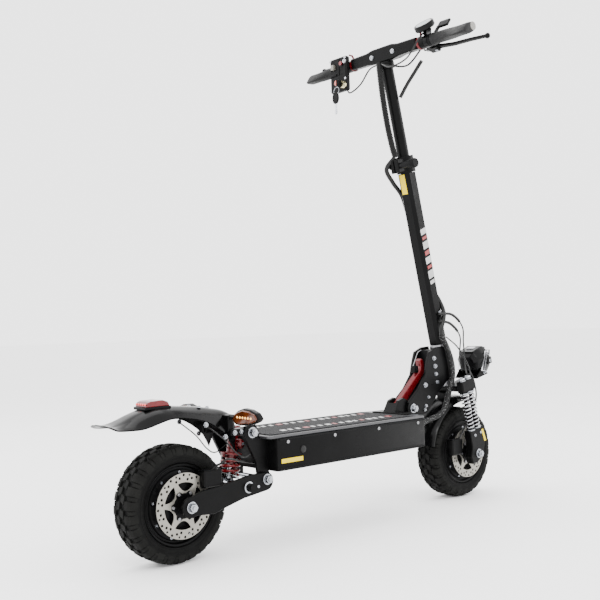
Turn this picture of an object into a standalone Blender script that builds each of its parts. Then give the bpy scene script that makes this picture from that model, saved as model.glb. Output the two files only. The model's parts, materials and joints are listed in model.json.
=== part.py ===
"""Electric kick scooter: folding frame, sprung fork and swingarm, telescopic stem, folding bars.

Frame: +X forward, +Y left, +Z up, metres. Shapes are drawn in a rear-axle frame (origin on the
ground below the rear axle) and hang from one empty, so the finished origin is the middle of the
object's footprint. Everything on the stem is drawn in a steering frame: X' forward, Y left, and
Z' up along the steering axis.
"""
import math

import bmesh
import bpy
from mathutils import Matrix, Vector

# --- driving dimensions -----------------------------------------------------------------------
REAR_AXLE_X = -0.4740
WHEELBASE = 0.968
WHEEL_RADIUS = 0.1275
TYRE_HALF_WIDTH = 0.038
TREAD_HALF_WIDTH = 0.026
RIM_RADIUS = 0.0836
DISC_RADIUS = 0.070
DISC_Y = -0.0498
DISC_THICKNESS = 0.002
CALIPER_INNER_Y = -0.042
AXLE_RADIUS = 0.006
BORE_GAP = 0.0004
GAP = 0.0003

DECK_X = (0.220, 0.730)
DECK_HALF_WIDTH = 0.100
DECK_Z = (0.175, 0.250)
LID_THICKNESS = 0.0067
WALL = 0.003

SWING_PIVOT = (0.206, 0.159)
SHOCK_LOWER = (0.153, 0.148)
SHOCK_UPPER = (0.175, 0.266)
LOWER_PIN_RADIUS = 0.0075
CHEEK_Y = (0.060, 0.068)
ARM_Y = (0.0705, 0.0785)

FOLD_PIVOT = (0.764, 0.268)
LEVER_PIN = (0.735, 0.278)
PLATE_Y = (0.022, 0.030)

RAKE = math.radians(13.2)
STEER_FOOT_X = 1.0165
STEERER_RADIUS = 0.015
HEAD_TUBE = (0.3480, 0.4437)
HEAD_TUBE_RADIUS = 0.026
STEM_LOWER = (0.4520, 0.9440)
STEM_HALF_WIDTH = 0.0210
UPPER_TUBE_RADIUS = 0.0165
UPPER_TUBE_FOOT = 0.770
CLAMP = (0.9450, 0.9910)

LEG_Y = (0.0665, 0.0895)
LEG_OFFSET = -0.008
COIL_SPACING = 0.026
FRONT_COIL = (0.2075, 0.3110)
CROWN = (0.3135, 0.3300)
CROWN_BLOCK_TOP = 0.3475

BAR_X, BAR_Z = 0.733, 1.240
BAR_RADIUS = 0.011
BAR_END = 0.2945
BLOCK_HALF = 0.120
BLOCK_CENTRE = (0.007, 1.2737)
GRIP_RADIUS = 0.0165
GRIP_Y = (0.165, 0.295)
PERCH_Y = (0.1285, 0.1425)
LEVER_PIVOT = (0.036, 0.151)
THROTTLE_ANGLE = math.radians(53)
GRIP_DROOP = math.radians(28)
PERCH_ANGLE = {"left": math.radians(35), "right": math.radians(-15)}

ROUND = 12
FINE_ROUND = 24
TYRE_STEPS = 36
SHARP_ANGLE = math.radians(36)


# --- materials --------------------------------------------------------------------------------
def surface(name, colour, roughness, metallic=0.0):
    """A Principled material with one colour."""
    made = bpy.data.materials.new(name)
    made.use_nodes = True
    shader = made.node_tree.nodes["Principled BSDF"]
    shader.inputs["Base Color"].default_value = (*colour, 1.0)
    shader.inputs["Roughness"].default_value = roughness
    shader.inputs["Metallic"].default_value = metallic
    made.diffuse_color = (*colour, 1.0)
    return made


def make_surfaces():
    """Every finish on the scooter, by slot name."""
    finishes = {
        "black_frame": ((0.012, 0.012, 0.013), 0.38, 0.3),
        "black_plastic": ((0.014, 0.014, 0.015), 0.30, 0.0),
        "matte_plastic": ((0.020, 0.020, 0.021), 0.60, 0.0),
        "rubber": ((0.016, 0.016, 0.017), 0.75, 0.0),
        "tyre": ((0.020, 0.020, 0.021), 0.85, 0.0),
        "deck_edge": ((0.16, 0.16, 0.17), 0.45, 0.6),
        "zinc": ((0.62, 0.63, 0.64), 0.32, 1.0),
        "disc_steel": ((0.60, 0.58, 0.54), 0.34, 1.0),
        "spring_chrome": ((0.75, 0.75, 0.76), 0.18, 1.0),
        "red_paint": ((0.42, 0.010, 0.015), 0.30, 0.3),
        "red_lens": ((0.50, 0.010, 0.012), 0.15, 0.0),
        "amber_lens": ((0.80, 0.22, 0.02), 0.15, 0.0),
        "orange_plastic": ((0.75, 0.10, 0.03), 0.35, 0.0),
        "grey_plastic": ((0.32, 0.30, 0.26), 0.40, 0.0),
        "battery_wrap": ((0.05, 0.10, 0.30), 0.45, 0.0),
        "cast_grey": ((0.28, 0.28, 0.29), 0.50, 0.8),
    }
    return {name: surface(name, *values) for name, values in finishes.items()}


# --- solids, as loose objects that are joined, cut and named afterwards ---------------------------
def loose(shape):
    """Turn a bmesh into an unnamed object with its faces pointing out."""
    bmesh.ops.recalc_face_normals(shape, faces=shape.faces)
    mesh = bpy.data.meshes.new("loose")
    shape.to_mesh(mesh)
    shape.free()
    made = bpy.data.objects.new("loose", mesh)
    bpy.context.collection.objects.link(made)
    return made


def box(low, high, chamfer=0.0):
    """A block between two corners, its edges chamfered on request."""
    low, high = Vector(low), Vector(high)
    shape = bmesh.new()
    bmesh.ops.create_cube(shape, size=1.0)
    size = high - low
    bmesh.ops.scale(shape, vec=size, verts=shape.verts)
    bmesh.ops.translate(shape, vec=(low + high) / 2, verts=shape.verts)
    if chamfer:
        bmesh.ops.bevel(shape, geom=shape.edges[:], offset=chamfer, segments=1, affect="EDGES")
    return loose(shape)


def prism(outline, low, high, normal="Y", chamfer=0.0):
    """Extrude an outline along one axis. Its points give the other two axes, in X, Y, Z order."""
    place = {
        "Y": lambda a, b, along: (a, along, b),
        "X": lambda a, b, along: (along, a, b),
        "Z": lambda a, b, along: (a, b, along),
    }[normal]
    shape = bmesh.new()
    near = shape.faces.new([shape.verts.new(place(a, b, low)) for a, b in outline])
    swept = bmesh.ops.extrude_face_region(shape, geom=[near])
    far = [item for item in swept["geom"] if isinstance(item, bmesh.types.BMVert)]
    shift = Vector(place(0, 0, high)) - Vector(place(0, 0, low))
    bmesh.ops.translate(shape, vec=shift, verts=far)
    if chamfer:
        caps = [face for face in shape.faces if len(face.verts) == len(outline)]
        rims = {edge for face in caps for edge in face.edges}
        bmesh.ops.bevel(shape, geom=list(rims), offset=chamfer, segments=1, affect="EDGES")
    return loose(shape)


def arc(centre, radius, start, end, steps):
    """Points along an arc, in degrees, both ends included."""
    angles = [math.radians(start + (end - start) * i / steps) for i in range(steps + 1)]
    return [(centre[0] + radius * math.cos(a), centre[1] + radius * math.sin(a)) for a in angles]


def rounded_rectangle(low, high, radius, steps=4):
    """The outline of a rectangle with four round corners."""
    (x0, y0), (x1, y1) = low, high
    corners = [
        ((x1 - radius, y1 - radius), 0),
        ((x0 + radius, y1 - radius), 90),
        ((x0 + radius, y0 + radius), 180),
        ((x1 - radius, y0 + radius), 270),
    ]
    return [point for centre, turn in corners for point in arc(centre, radius, turn, turn + 90, steps)]


def turned(profile, base, direction, steps=ROUND):
    """Turn a closed (radius, along) profile about an axis through base."""
    shape = bmesh.new()
    spin = Vector((0, 0, 1)).rotation_difference(Vector(direction).normalized())
    rings = []
    for radius, along in profile:
        count = 1 if radius < 1e-9 else steps
        angles = [2 * math.pi * i / steps for i in range(count)]
        points = [Vector((radius * math.cos(a), radius * math.sin(a), along)) for a in angles]
        rings.append([shape.verts.new(Vector(base) + spin @ point) for point in points])
    for ring, after in zip(rings, rings[1:] + rings[:1]):
        if len(ring) == 1 and len(after) == 1:
            continue
        for i in range(steps):
            j = (i + 1) % steps
            corners = [ring[i % len(ring)], ring[j % len(ring)], after[j % len(after)], after[i % len(after)]]
            shape.faces.new(list(dict.fromkeys(corners)))
    return loose(shape)


def rod(start, end, radius, steps=ROUND, end_radius=None):
    """A round bar or cone between two points."""
    start, end = Vector(start), Vector(end)
    length = (end - start).length
    tip = radius if end_radius is None else end_radius
    return turned([(0, 0), (radius, 0), (tip, length), (0, length)], start, end - start, steps)


def ring(centre, direction, inner, outer, length, steps=ROUND):
    """A sleeve whose middle is at centre."""
    half = length / 2
    profile = [(inner, -half), (outer, -half), (outer, half), (inner, half)]
    return turned(profile, centre, direction, steps)


def ball(centre, radius, steps=10):
    """A sphere made of rings along Z."""
    angles = [math.pi * i / (steps // 2) for i in range(steps // 2 + 1)]
    profile = [(radius * math.sin(a), -radius * math.cos(a)) for a in angles]
    return turned([(r if r > 1e-6 else 0, z) for r, z in profile], centre, (0, 0, 1), steps)


def swept(points, radius, sides=8):
    """A round tube along a list of points, without twist."""
    points = [Vector(point) for point in points]
    shape = bmesh.new()
    tangents = []
    for i in range(len(points)):
        before, after = points[max(i - 1, 0)], points[min(i + 1, len(points) - 1)]
        tangents.append((after - before).normalized())
    across = tangents[0].orthogonal().normalized()
    rings = []
    for point, tangent in zip(points, tangents):
        across = (across - tangent * across.dot(tangent)).normalized()
        other = tangent.cross(across)
        angles = [2 * math.pi * i / sides for i in range(sides)]
        spokes = [across * math.cos(a) + other * math.sin(a) for a in angles]
        rings.append([shape.verts.new(point + spoke * radius) for spoke in spokes])
    for first, second in zip(rings, rings[1:]):
        for i in range(sides):
            j = (i + 1) % sides
            shape.faces.new([first[i], first[j], second[j], second[i]])
    shape.faces.new(rings[0][::-1])
    shape.faces.new(rings[-1])
    return loose(shape)


def coil(start, end, radius, wire, turns, steps=10, sides=5):
    """A helical spring wire whose centre line runs from start to end."""
    start, end = Vector(start), Vector(end)
    spin = Vector((0, 0, 1)).rotation_difference((end - start).normalized())
    total = int(turns * steps)
    points = []
    for i in range(total + 1):
        angle = 2 * math.pi * i / steps
        height = (end - start).length * i / total
        points.append(start + spin @ Vector((radius * math.cos(angle), radius * math.sin(angle), height)))
    return swept(points, wire, sides)


def smooth_path(points, steps):
    """A Catmull-Rom curve through the points."""
    points = [Vector(point) for point in points]
    ends = [2 * points[0] - points[1]] + points + [2 * points[-1] - points[-2]]
    curve = []
    for a, b, c, d in zip(ends, ends[1:], ends[2:], ends[3:]):
        for i in range(steps):
            t = i / steps
            curve.append(0.5 * (2 * b + (c - a) * t + (2 * a - 5 * b + 4 * c - d) * t * t
                                + (3 * b - a - 3 * c + d) * t ** 3))
    return curve + [points[-1]]


def moved(made, matrix):
    """Move a loose object's mesh by a matrix."""
    made.data.transform(matrix)
    return made


STEERING = Matrix.Translation((STEER_FOOT_X, 0, 0)) @ Matrix.Rotation(-RAKE, 4, "Y")
BAR_CENTRE = Matrix.Translation((BAR_X, 0, BAR_Z))


def stem_point(forward, left, up):
    """A point of the steering frame, in the rear-axle frame."""
    return STEERING @ Vector((forward, left, up))


def joined(solids, cuts=(), pins=()):
    """Unite the solids, subtract the cuts and drive the pins, into one mesh."""
    body = solids[0]
    tools = [(tool, "UNION") for tool in solids[1:]] + [(tool, "DIFFERENCE") for tool in cuts]
    tools += [(tool, "UNION") for tool in pins]
    for tool, operation in tools:
        step = body.modifiers.new(operation.title(), "BOOLEAN")
        step.operation = operation
        step.object = tool
    mesh = bpy.data.meshes.new_from_object(body.evaluated_get(bpy.context.evaluated_depsgraph_get()))
    for used in [*solids, *cuts, *pins]:
        bpy.data.objects.remove(used, do_unlink=True)
    return mesh


class Scooter:
    """Adds named pieces under one root."""

    def __init__(self):
        self.surfaces = make_surfaces()
        self.root = bpy.data.objects.new("scooter_root", None)
        self.root.location = (REAR_AXLE_X, 0, 0)
        bpy.context.collection.objects.link(self.root)

    def add(self, name, finish, solids, cuts=(), pins=(), frame=None, origin=(0, 0, 0)):
        """Join solids drawn in a frame into one named object whose origin is its pivot or centre."""
        mesh = joined(solids, cuts, pins)
        mesh.name = name
        mesh.transform(Matrix.Translation(-Vector(origin)) @ (frame or Matrix()))
        mesh.materials.clear()
        mesh.materials.append(self.surfaces[finish])
        mesh.shade_smooth()
        mesh.set_sharp_from_angle(angle=SHARP_ANGLE)
        made = bpy.data.objects.new(name, mesh)
        bpy.context.collection.objects.link(made)
        made.parent = self.root
        made.location = origin
        return made


def across(x, z, low, high, radius, steps=ROUND):
    """A bar along Y."""
    return rod((x, low, z), (x, high, z), radius, steps)


def through_bolt(x, z, grip, shank=AXLE_RADIUS, washer=0.0125, nut=0.0098):
    """A cross bolt with a washer and a nut at each end, outside a grip of half-length grip."""
    face, back, end = grip + GAP, grip + 0.0023, grip + 0.0108
    half = [(shank, face), (washer, face), (washer, back), (nut, back), (nut, end), (0.0055, end),
            (0.0055, end + 0.003), (0, end + 0.003)]
    profile = [(radius, -along) for radius, along in half[::-1]] + half
    return turned(profile, (x, 0, z), (0, 1, 0))


# --- wheels -----------------------------------------------------------------------------------
def tyre_profile():
    """The half-hollow section of a tyre, as (radius, along)."""
    outer = [
        (0.0840, 0.0291), (0.0892, 0.0291), (0.0900, 0.0350), (0.111, TYRE_HALF_WIDTH),
        (0.1245, 0.0330), (WHEEL_RADIUS, TREAD_HALF_WIDTH),
    ]
    inner = [(0.1165, 0.0260), (0.0840, 0.0225)]
    mirror = [(radius, -along) for radius, along in outer]
    return outer + mirror[::-1] + [(r, -a) for r, a in inner[::-1]] + inner


def hub_profile():
    """A hub motor drum with flanges for the tyre bead and a boss on the disc side."""
    bore = AXLE_RADIUS + BORE_GAP
    left = [(bore, 0.046), (0.026, 0.046), (0.032, 0.040), (0.058, 0.037), (0.076, 0.033), (0.0885, 0.033)]
    rim = [(0.0885, 0.0295), (RIM_RADIUS, 0.0295), (RIM_RADIUS, -0.0295), (0.0885, -0.0295)]
    right = [(0.0885, -0.033), (0.076, -0.033), (0.058, -0.037), (0.032, -0.040), (0.028, -0.0485)]
    nose = [(0.0200, -0.0485), (0.0190, -0.0540), (bore, -0.0540)]
    return left + rim + right + nose


def add_wheel(scooter, end, x):
    """Tyre, hub and brake disc of one wheel."""
    centre, along = (x, 0, WHEEL_RADIUS), (0, 1, 0)
    scooter.add(end + "_tyre", "tyre", [turned(tyre_profile(), centre, along, TYRE_STEPS)], origin=centre)
    scooter.add(end + "_hub", "black_frame", [turned(hub_profile(), centre, along, FINE_ROUND)], origin=centre)
    plate = ring((x, DISC_Y, WHEEL_RADIUS), along, 0.0205, DISC_RADIUS, DISC_THICKNESS, 36)
    scooter.add(end + "_disc", "disc_steel", [plate], origin=centre)


# --- deck and neck ----------------------------------------------------------------------------
def add_deck(scooter):
    """Tub, lid, battery, controller and the lug that carries the fold pivot."""
    x0, x1 = DECK_X
    z0, z1 = DECK_Z
    width = DECK_HALF_WIDTH
    outline = rounded_rectangle((x0, -width), (x1, width), 0.008, 2)
    cavity = rounded_rectangle((x0 + WALL, -width + WALL), (x1 - WALL, width - WALL), 0.006, 2)
    shell = prism(outline, z0, z1, "Z", 0.002)
    hollow = prism(cavity, z0 + WALL, z1 + 0.01, "Z")
    stand_lug = box((0.232, 0.080, 0.146), (0.262, width, z0 + 0.001), 0.002)
    scooter.add("deck_tub", "black_frame", [shell, stand_lug], [hollow])
    lid = rounded_rectangle((0.196, -width - 0.0015), (x1 + 0.002, width + 0.0015), 0.014)
    scooter.add("deck_lid", "deck_edge", [prism(lid, z1 + GAP, z1 + GAP + LID_THICKNESS, "Z", 0.0015)])
    floor = z0 + WALL + GAP
    scooter.add("battery_pack", "battery_wrap", [box((0.290, -0.088, floor), (0.610, 0.088, 0.236), 0.004)])
    scooter.add("controller", "cast_grey", [box((0.632, -0.060, floor), (0.716, 0.060, 0.216), 0.003)])

    lid_top = z1 + GAP + LID_THICKNESS
    foot = [(0.694, lid_top + GAP), (x1 + 0.0035, lid_top + GAP), (x1 + 0.0035, 0.222), (0.776, 0.230)]
    nose = arc(FOLD_PIVOT, 0.0225, -40, 110, 6)
    lug = prism(foot + nose + [(0.735, 0.298), (0.716, 0.292)], -0.0215, 0.0215, chamfer=0.001)
    base = box((0.690, -0.055, lid_top + GAP), (x1 + 0.001, 0.055, lid_top + 0.0055), 0.001)
    slot = box((0.712, -0.0115, 0.2625), (0.800, 0.0115, 0.32))
    pin = across(*LEVER_PIN, -0.018, 0.018, 0.004, 16)
    bore = across(*FOLD_PIVOT, -0.03, 0.03, AXLE_RADIUS + BORE_GAP)
    scooter.add("neck_lug", "black_frame", [lug, base], [slot, bore], [pin])
    scooter.add("fold_pivot_bolt", "zinc", [through_bolt(*FOLD_PIVOT, PLATE_Y[1])])


def add_head(scooter):
    """Two side plates and the head tube that they hold."""
    outline = [
        (0.745, 0.285), (0.787, 0.318), (0.818, 0.355), (0.828, 0.392), (0.838, 0.418), (0.868, 0.430),
        (0.8985, 0.432), (0.9205, 0.338), (0.870, 0.302), (0.835, 0.262), (0.820, 0.250),
    ]
    heel = arc(FOLD_PIVOT, 0.0225, 300, 140, 6)
    for name, side in (("left", 1), ("right", -1)):
        low, high = sorted((side * PLATE_Y[0], side * PLATE_Y[1]))
        plate = prism(outline + heel, low, high, chamfer=0.001)
        bore = across(*FOLD_PIVOT, low - 0.01, high + 0.01, AXLE_RADIUS + BORE_GAP)
        scooter.add("head_plate_" + name, "black_frame", [plate], [bore])
    low, high = HEAD_TUBE
    half = PLATE_Y[0] - GAP
    tube = rod((0, 0, low), (0, 0, high), HEAD_TUBE_RADIUS, FINE_ROUND)
    block = prism([(-0.080, 0.368), (-0.010, 0.3495), (-0.010, 0.4380), (-0.060, 0.448)], -half, half)
    bore = rod((0, 0, low - 0.02), (0, 0, high + 0.02), STEERER_RADIUS + 0.0005, FINE_ROUND)
    scooter.add("head_tube", "black_frame", [tube, block], [bore], frame=STEERING)


def add_fold_lever(scooter):
    """The latch lever that lies between the plates."""
    outline = [
        (0.729, 0.287), (0.820, 0.367), (0.8245, 0.378), (0.8205, 0.394), (0.828, 0.400), (0.836, 0.396),
        (0.8415, 0.374), (0.838, 0.359), (0.745, 0.271),
    ]
    heel = arc(LEVER_PIN, 0.0115, 300, 150, 6)
    blade = prism(outline + heel, -0.009, 0.009, chamfer=0.0015)
    bore = across(*LEVER_PIN, -0.02, 0.02, 0.0044, 16)
    scooter.add("fold_lever", "red_paint", [blade], [bore], origin=(LEVER_PIN[0], 0, LEVER_PIN[1]))


# --- rear end ---------------------------------------------------------------------------------
def add_rear_bracket(scooter):
    """Cheeks and cross plate that hold the swingarm pivot and the shock's upper eye."""
    cheek = [
        (0.2195, 0.176), (0.2195, 0.2497), (0.1955, 0.2497), (0.1925, 0.268), (0.186, 0.282), (0.172, 0.287),
        (0.157, 0.281), (0.151, 0.264), (0.165, 0.235), (0.184, 0.200),
    ]
    lug = arc(SWING_PIVOT, 0.0175, 160, 370, 10)
    solids = [box((0.2085, -CHEEK_Y[1], 0.178), (0.2195, CHEEK_Y[1], 0.2490))]
    cuts = [across(*SWING_PIVOT, -0.09, 0.09, AXLE_RADIUS + BORE_GAP),
            across(*SHOCK_UPPER, -0.09, 0.09, AXLE_RADIUS + BORE_GAP)]
    for side in (-1, 1):
        low, high = sorted((side * CHEEK_Y[0], side * CHEEK_Y[1]))
        solids.append(prism(cheek + lug, low, high))
    scooter.add("rear_bracket", "black_frame", solids, cuts)
    scooter.add("shock_top_bolt", "zinc", [through_bolt(*SHOCK_UPPER, CHEEK_Y[1])])
    scooter.add("swingarm_pivot_bolt", "zinc", [through_bolt(*SWING_PIVOT, ARM_Y[1])])


def add_swingarm(scooter):
    """Two arm plates joined by the lower shock pin, with the axle and the caliper."""
    top = [(0.158, 0.1745), (0.077, 0.162), (0.0235, 0.157)]
    tail = arc((0.0, WHEEL_RADIUS), 0.0225, 80, 300, 10)
    bottom = [(0.019, 0.108), (0.058, 0.105), (0.087, 0.113), (0.138, 0.1255), (0.205, 0.134)]
    nose = arc((0.2035, 0.1545), 0.0205, -70, 80, 8)
    solids = [through_bolt(*SHOCK_LOWER, ARM_Y[1] - 0.001, LOWER_PIN_RADIUS)]
    for side in (-1, 1):
        low, high = sorted((side * ARM_Y[0], side * ARM_Y[1]))
        solids.append(prism(top + tail + bottom + nose, low, high, chamfer=0.0012))
    cuts = [across(*SWING_PIVOT, -0.1, 0.1, AXLE_RADIUS + BORE_GAP),
            across(0, WHEEL_RADIUS, -0.1, 0.1, AXLE_RADIUS + BORE_GAP)]
    pivot = (SWING_PIVOT[0], 0, SWING_PIVOT[1])
    scooter.add("swingarm", "black_frame", solids, cuts, origin=pivot)
    scooter.add("rear_axle", "zinc", [through_bolt(0, WHEEL_RADIUS, ARM_Y[1])])
    scooter.add("rear_caliper", "black_frame",
                *caliper((0.040, 0.160), (0.088, 0.198), ARM_Y[0], (0.030, 0.150), (0.100, 0.188)))


def caliper(low, high, outer, mouth_low, mouth_high):
    """A caliper block from the disc to the plate that carries it, as solids and cuts."""
    body = box((low[0], -outer + GAP, low[1]), (high[0], CALIPER_INNER_Y, high[1]), 0.003)
    gap = DISC_THICKNESS / 2 + 0.0012
    mouth = box((mouth_low[0], DISC_Y - gap, mouth_low[1]), (mouth_high[0], DISC_Y + gap, mouth_high[1]))
    return [body], [mouth]


def add_shock(scooter):
    """Upper body with its reservoir, lower shaft and the coil between their seats."""
    upper = Vector((SHOCK_UPPER[0], 0, SHOCK_UPPER[1]))
    lower = Vector((SHOCK_LOWER[0], 0, SHOCK_LOWER[1]))
    down = (lower - upper).normalized()

    def along(distance):
        return upper + down * distance

    damper = [(0, 0.006), (0.0120, 0.006), (0.0120, 0.0515), (0.0245, 0.0515), (0.0245, 0.0548),
              (0.0120, 0.0548), (0.0120, 0.076), (0.0056, 0.076), (0.0056, 0.040), (0, 0.040)]
    body = [
        turned(damper, upper, down),
        across(*SHOCK_UPPER, -0.014, 0.014, 0.0128),
        ball(along(0.034) + Vector((0.0205, 0, 0.001)), 0.0125),
    ]
    bores = [across(*SHOCK_UPPER, -0.02, 0.02, AXLE_RADIUS + BORE_GAP)]
    scooter.add("shock_body", "red_paint", body, bores, origin=upper)
    reach = (lower - upper).length
    seat = (reach - 0.0165, reach - 0.0130)
    piston = [(0, 0.050), (0.005, 0.050), (0.005, seat[0]), (0.0245, seat[0]), (0.0245, seat[1]),
              (0.0085, seat[1]), (0.0085, reach - 0.0095), (0, reach - 0.0095)]
    shaft = [turned(piston, upper, down), across(*SHOCK_LOWER, -0.012, 0.012, 0.0125)]
    eye = across(*SHOCK_LOWER, -0.02, 0.02, 0.0090)
    scooter.add("shock_shaft", "zinc", shaft, [eye], origin=lower)
    wire = coil(along(0.0585), along(seat[0] - 0.0037), 0.0210, 0.0032, 3.2, 10, 5)
    scooter.add("rear_spring", "red_paint", [wire], origin=upper)


def fender_shell(stations, half_width, thickness, columns=8):
    """A curved shell through (edge x, edge z, ridge x, ridge z) stations."""
    shape = bmesh.new()
    layers = []
    for drop in (0.0, thickness):
        rows = []
        for edge_x, edge_z, ridge_x, ridge_z in stations:
            row = []
            for i in range(columns + 1):
                y = -1 + 2 * i / columns
                share = 1 - abs(y) ** 3.0
                x = edge_x + (ridge_x - edge_x) * share
                z = edge_z + (ridge_z - edge_z) * share
                inset = 1 - drop / half_width
                row.append(shape.verts.new((x - 0.4 * drop, y * half_width * inset, z - drop)))
            rows.append(row)
        layers.append(rows)
    top, under = layers
    for rows, flip in ((top, False), (under, True)):
        for first, second in zip(rows, rows[1:]):
            for i in range(columns):
                corners = [first[i], first[i + 1], second[i + 1], second[i]]
                shape.faces.new(corners[::-1] if flip else corners)
    last = len(stations) - 1
    for i in range(columns):
        shape.faces.new([top[0][i + 1], top[0][i], under[0][i], under[0][i + 1]])
        shape.faces.new([top[last][i], top[last][i + 1], under[last][i + 1], under[last][i]])
    for j in range(last):
        for i in (0, columns):
            shape.faces.new([top[j][i], top[j + 1][i], under[j + 1][i], under[j][i]])
    bmesh.ops.triangulate(shape, faces=shape.faces)
    return loose(shape)


def add_rear_fender(scooter):
    """Rear fender with its bosses, the brake light and the two turn signals."""
    stations = [
        (0.138, 0.232, 0.158, 0.306), (0.126, 0.254, 0.134, 0.317), (0.113, 0.270, 0.108, 0.323),
        (0.085, 0.290, 0.070, 0.330), (0.050, 0.305, 0.026, 0.335), (0.000, 0.314, -0.010, 0.338),
        (-0.030, 0.314, -0.050, 0.339), (-0.085, 0.301, -0.090, 0.329), (-0.120, 0.300, -0.125, 0.316),
        (-0.150, 0.302, -0.150, 0.309), (-0.162, 0.306, -0.1668, 0.311),
    ]
    solids = [fender_shell(stations, 0.050, 0.003)]
    for side in (-1, 1):
        inner, outer = sorted((side * 0.036, side * (CHEEK_Y[0] - GAP)))
        solids.append(box((0.122, inner, 0.262), (0.162, outer, 0.277)))
        inner, outer = sorted((side * 0.026, side * 0.052))
        solids.append(box((0.120, inner, 0.270), (0.134, outer, 0.309)))
    scooter.add("rear_fender", "black_plastic", solids)
    lamp = [(-0.072, 0.3398), (-0.066, 0.351), (-0.030, 0.3535), (-0.014, 0.3490), (-0.010, 0.3398)]
    scooter.add("brake_light", "red_lens", [prism(lamp, -0.024, 0.024, chamfer=0.001)])
    for name, side in (("left", 1), ("right", -1)):
        outline = [(0.0523, 0.301), (0.072, 0.300), (0.082, 0.288), (0.128, 0.291), (0.156, 0.300),
                   (0.160, 0.307), (0.148, 0.319), (0.112, 0.327), (0.088, 0.322), (0.072, 0.310),
                   (0.0523, 0.309)]
        points = [(side * y, z) for y, z in outline]
        scooter.add("signal_" + name, "amber_lens", [prism(points, 0.1175, 0.1365, "X", 0.001)])


def add_kickstand(scooter):
    """A side stand that swings from its standing place back along the deck."""
    pivot = Vector((0.247, 0.1135, 0.158))
    hinge = Vector((0.1377, 0.900, 0.4136)).normalized()
    foot = Vector((0.189, 0.196, 0.0))
    leg = [pivot, pivot + Vector((-0.014, 0.016, -0.035)), foot + Vector((0.006, -0.008, 0.020)),
           foot + Vector((0.001, -0.001, 0.004))]
    solids = [
        rod(pivot - hinge * 0.008, pivot + hinge * 0.008, 0.0105),
        swept(smooth_path(leg, 4), 0.006, 10),
        rod(foot, foot + Vector((0, 0, 0.007)), 0.014),
    ]
    scooter.add("kickstand", "black_frame", solids, origin=pivot)


# --- steering, fork and stem --------------------------------------------------------------------
def octagon(half, corner):
    """A square with cut corners."""
    flat = half - corner
    return [(half, -flat), (half, flat), (flat, half), (-flat, half),
            (-half, flat), (-half, -flat), (-flat, -half), (flat, -half)]


def add_steerer(scooter):
    """Fork crown with its steerer tube, lower stem, clamp, knob, headlight and front fender."""
    low, high = CROWN
    steerer = [(0, high - 0.004), (0.0205, high - 0.004), (0.0205, HEAD_TUBE[0] - 0.0004),
               (STEERER_RADIUS, HEAD_TUBE[0] - 0.0004), (STEERER_RADIUS, 0.513), (0, 0.513)]
    solids = [box((-0.017, -0.075, low), (0.0195, 0.075, high), 0.002),
              turned(steerer, (0, 0, 0), (0, 0, 1), FINE_ROUND),
              box((0.012, -0.019, low + 0.0005), (0.150, 0.019, low + 0.0060), 0.001)]
    cuts = []
    for side in (-1, 1):
        inner, outer = sorted((side * LEG_Y[0], side * LEG_Y[1]))
        solids.append(box((-0.036, inner, low + 0.0010), (0.020, outer, CROWN_BLOCK_TOP), 0.003))
        for offset in (-COIL_SPACING / 2, COIL_SPACING / 2):
            place = (LEG_OFFSET + offset, side * sum(LEG_Y) / 2)
            cuts.append(rod((*place, low - 0.01), (*place, CROWN_BLOCK_TOP + 0.01), 0.0062, 16))
    scooter.add("fork_crown", "black_frame", solids, cuts, frame=STEERING)

    low, high = STEM_LOWER
    body = [prism(octagon(STEM_HALF_WIDTH, 0.0085), low, high, "Z"),
            rod((0, 0, HEAD_TUBE[1] + 0.0004), (0, 0, low + 0.004), 0.0200, FINE_ROUND)]
    upper = UPPER_TUBE_RADIUS + BORE_GAP
    bore = [(0, HEAD_TUBE[1] - 0.01), (0.0156, HEAD_TUBE[1] - 0.01), (0.0156, 0.520), (upper, 0.520),
            (upper, high + 0.02), (0, high + 0.02)]
    scooter.add("stem_lower", "black_frame", body, [turned(bore, (0, 0, 0), (0, 0, 1), FINE_ROUND)],
                frame=STEERING)

    low, high = CLAMP
    middle = (low + high) / 2
    collar = [ring((0, 0, middle), (0, 0, 1), UPPER_TUBE_RADIUS + BORE_GAP, 0.0265, high - low, FINE_ROUND),
              box((-0.046, -0.0150, low + 0.004), (-0.018, 0.0150, high - 0.004), 0.002)]
    gaps = [box((-0.060, -0.0020, low - 0.01), (-0.010, 0.0020, high + 0.01)),
            rod((-0.036, -0.05, middle), (-0.036, 0.05, middle), 0.0040, 16)]
    scooter.add("stem_clamp", "black_frame", collar, gaps, frame=STEERING)
    knob = [(0, -0.070), (0.0120, -0.070), (0.0135, -0.067), (0.0080, -0.0153), (0.0036, -0.0153),
            (0.0036, 0.0153), (0.0075, 0.0153), (0.0075, 0.0225), (0.0036, 0.0225), (0.0036, 0.027), (0, 0.027)]
    knob_centre = stem_point(-0.036, 0, middle)
    scooter.add("clamp_knob", "matte_plastic", [turned(knob, (-0.036, 0, middle), (0, 1, 0))],
                frame=STEERING, origin=knob_centre)

    face = [(-0.042, 0.338), (-0.030, 0.3205), (0.030, 0.3205), (0.042, 0.338), (0.046, 0.372),
            (0.030, 0.398), (-0.030, 0.398), (-0.046, 0.372)]
    shell = prism(face, 0.108, 0.176, "X", 0.004)
    brow = box((0.150, -0.026, 0.336), (0.182, 0.026, 0.386), 0.004)
    scooter.add("headlight", "black_plastic", [shell, brow], frame=STEERING)

    axle = (WHEELBASE, WHEEL_RADIUS)
    band = arc(axle, 0.1615, 70, 168, 14) + arc(axle, 0.1585, 168, 70, 14)
    hanger = moved(box((-0.030, -0.016, 0.290), (-0.004, 0.016, CROWN[0] - GAP)), STEERING)
    scooter.add("front_fender", "black_plastic", [prism(band, -0.049, 0.049), hanger])


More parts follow.
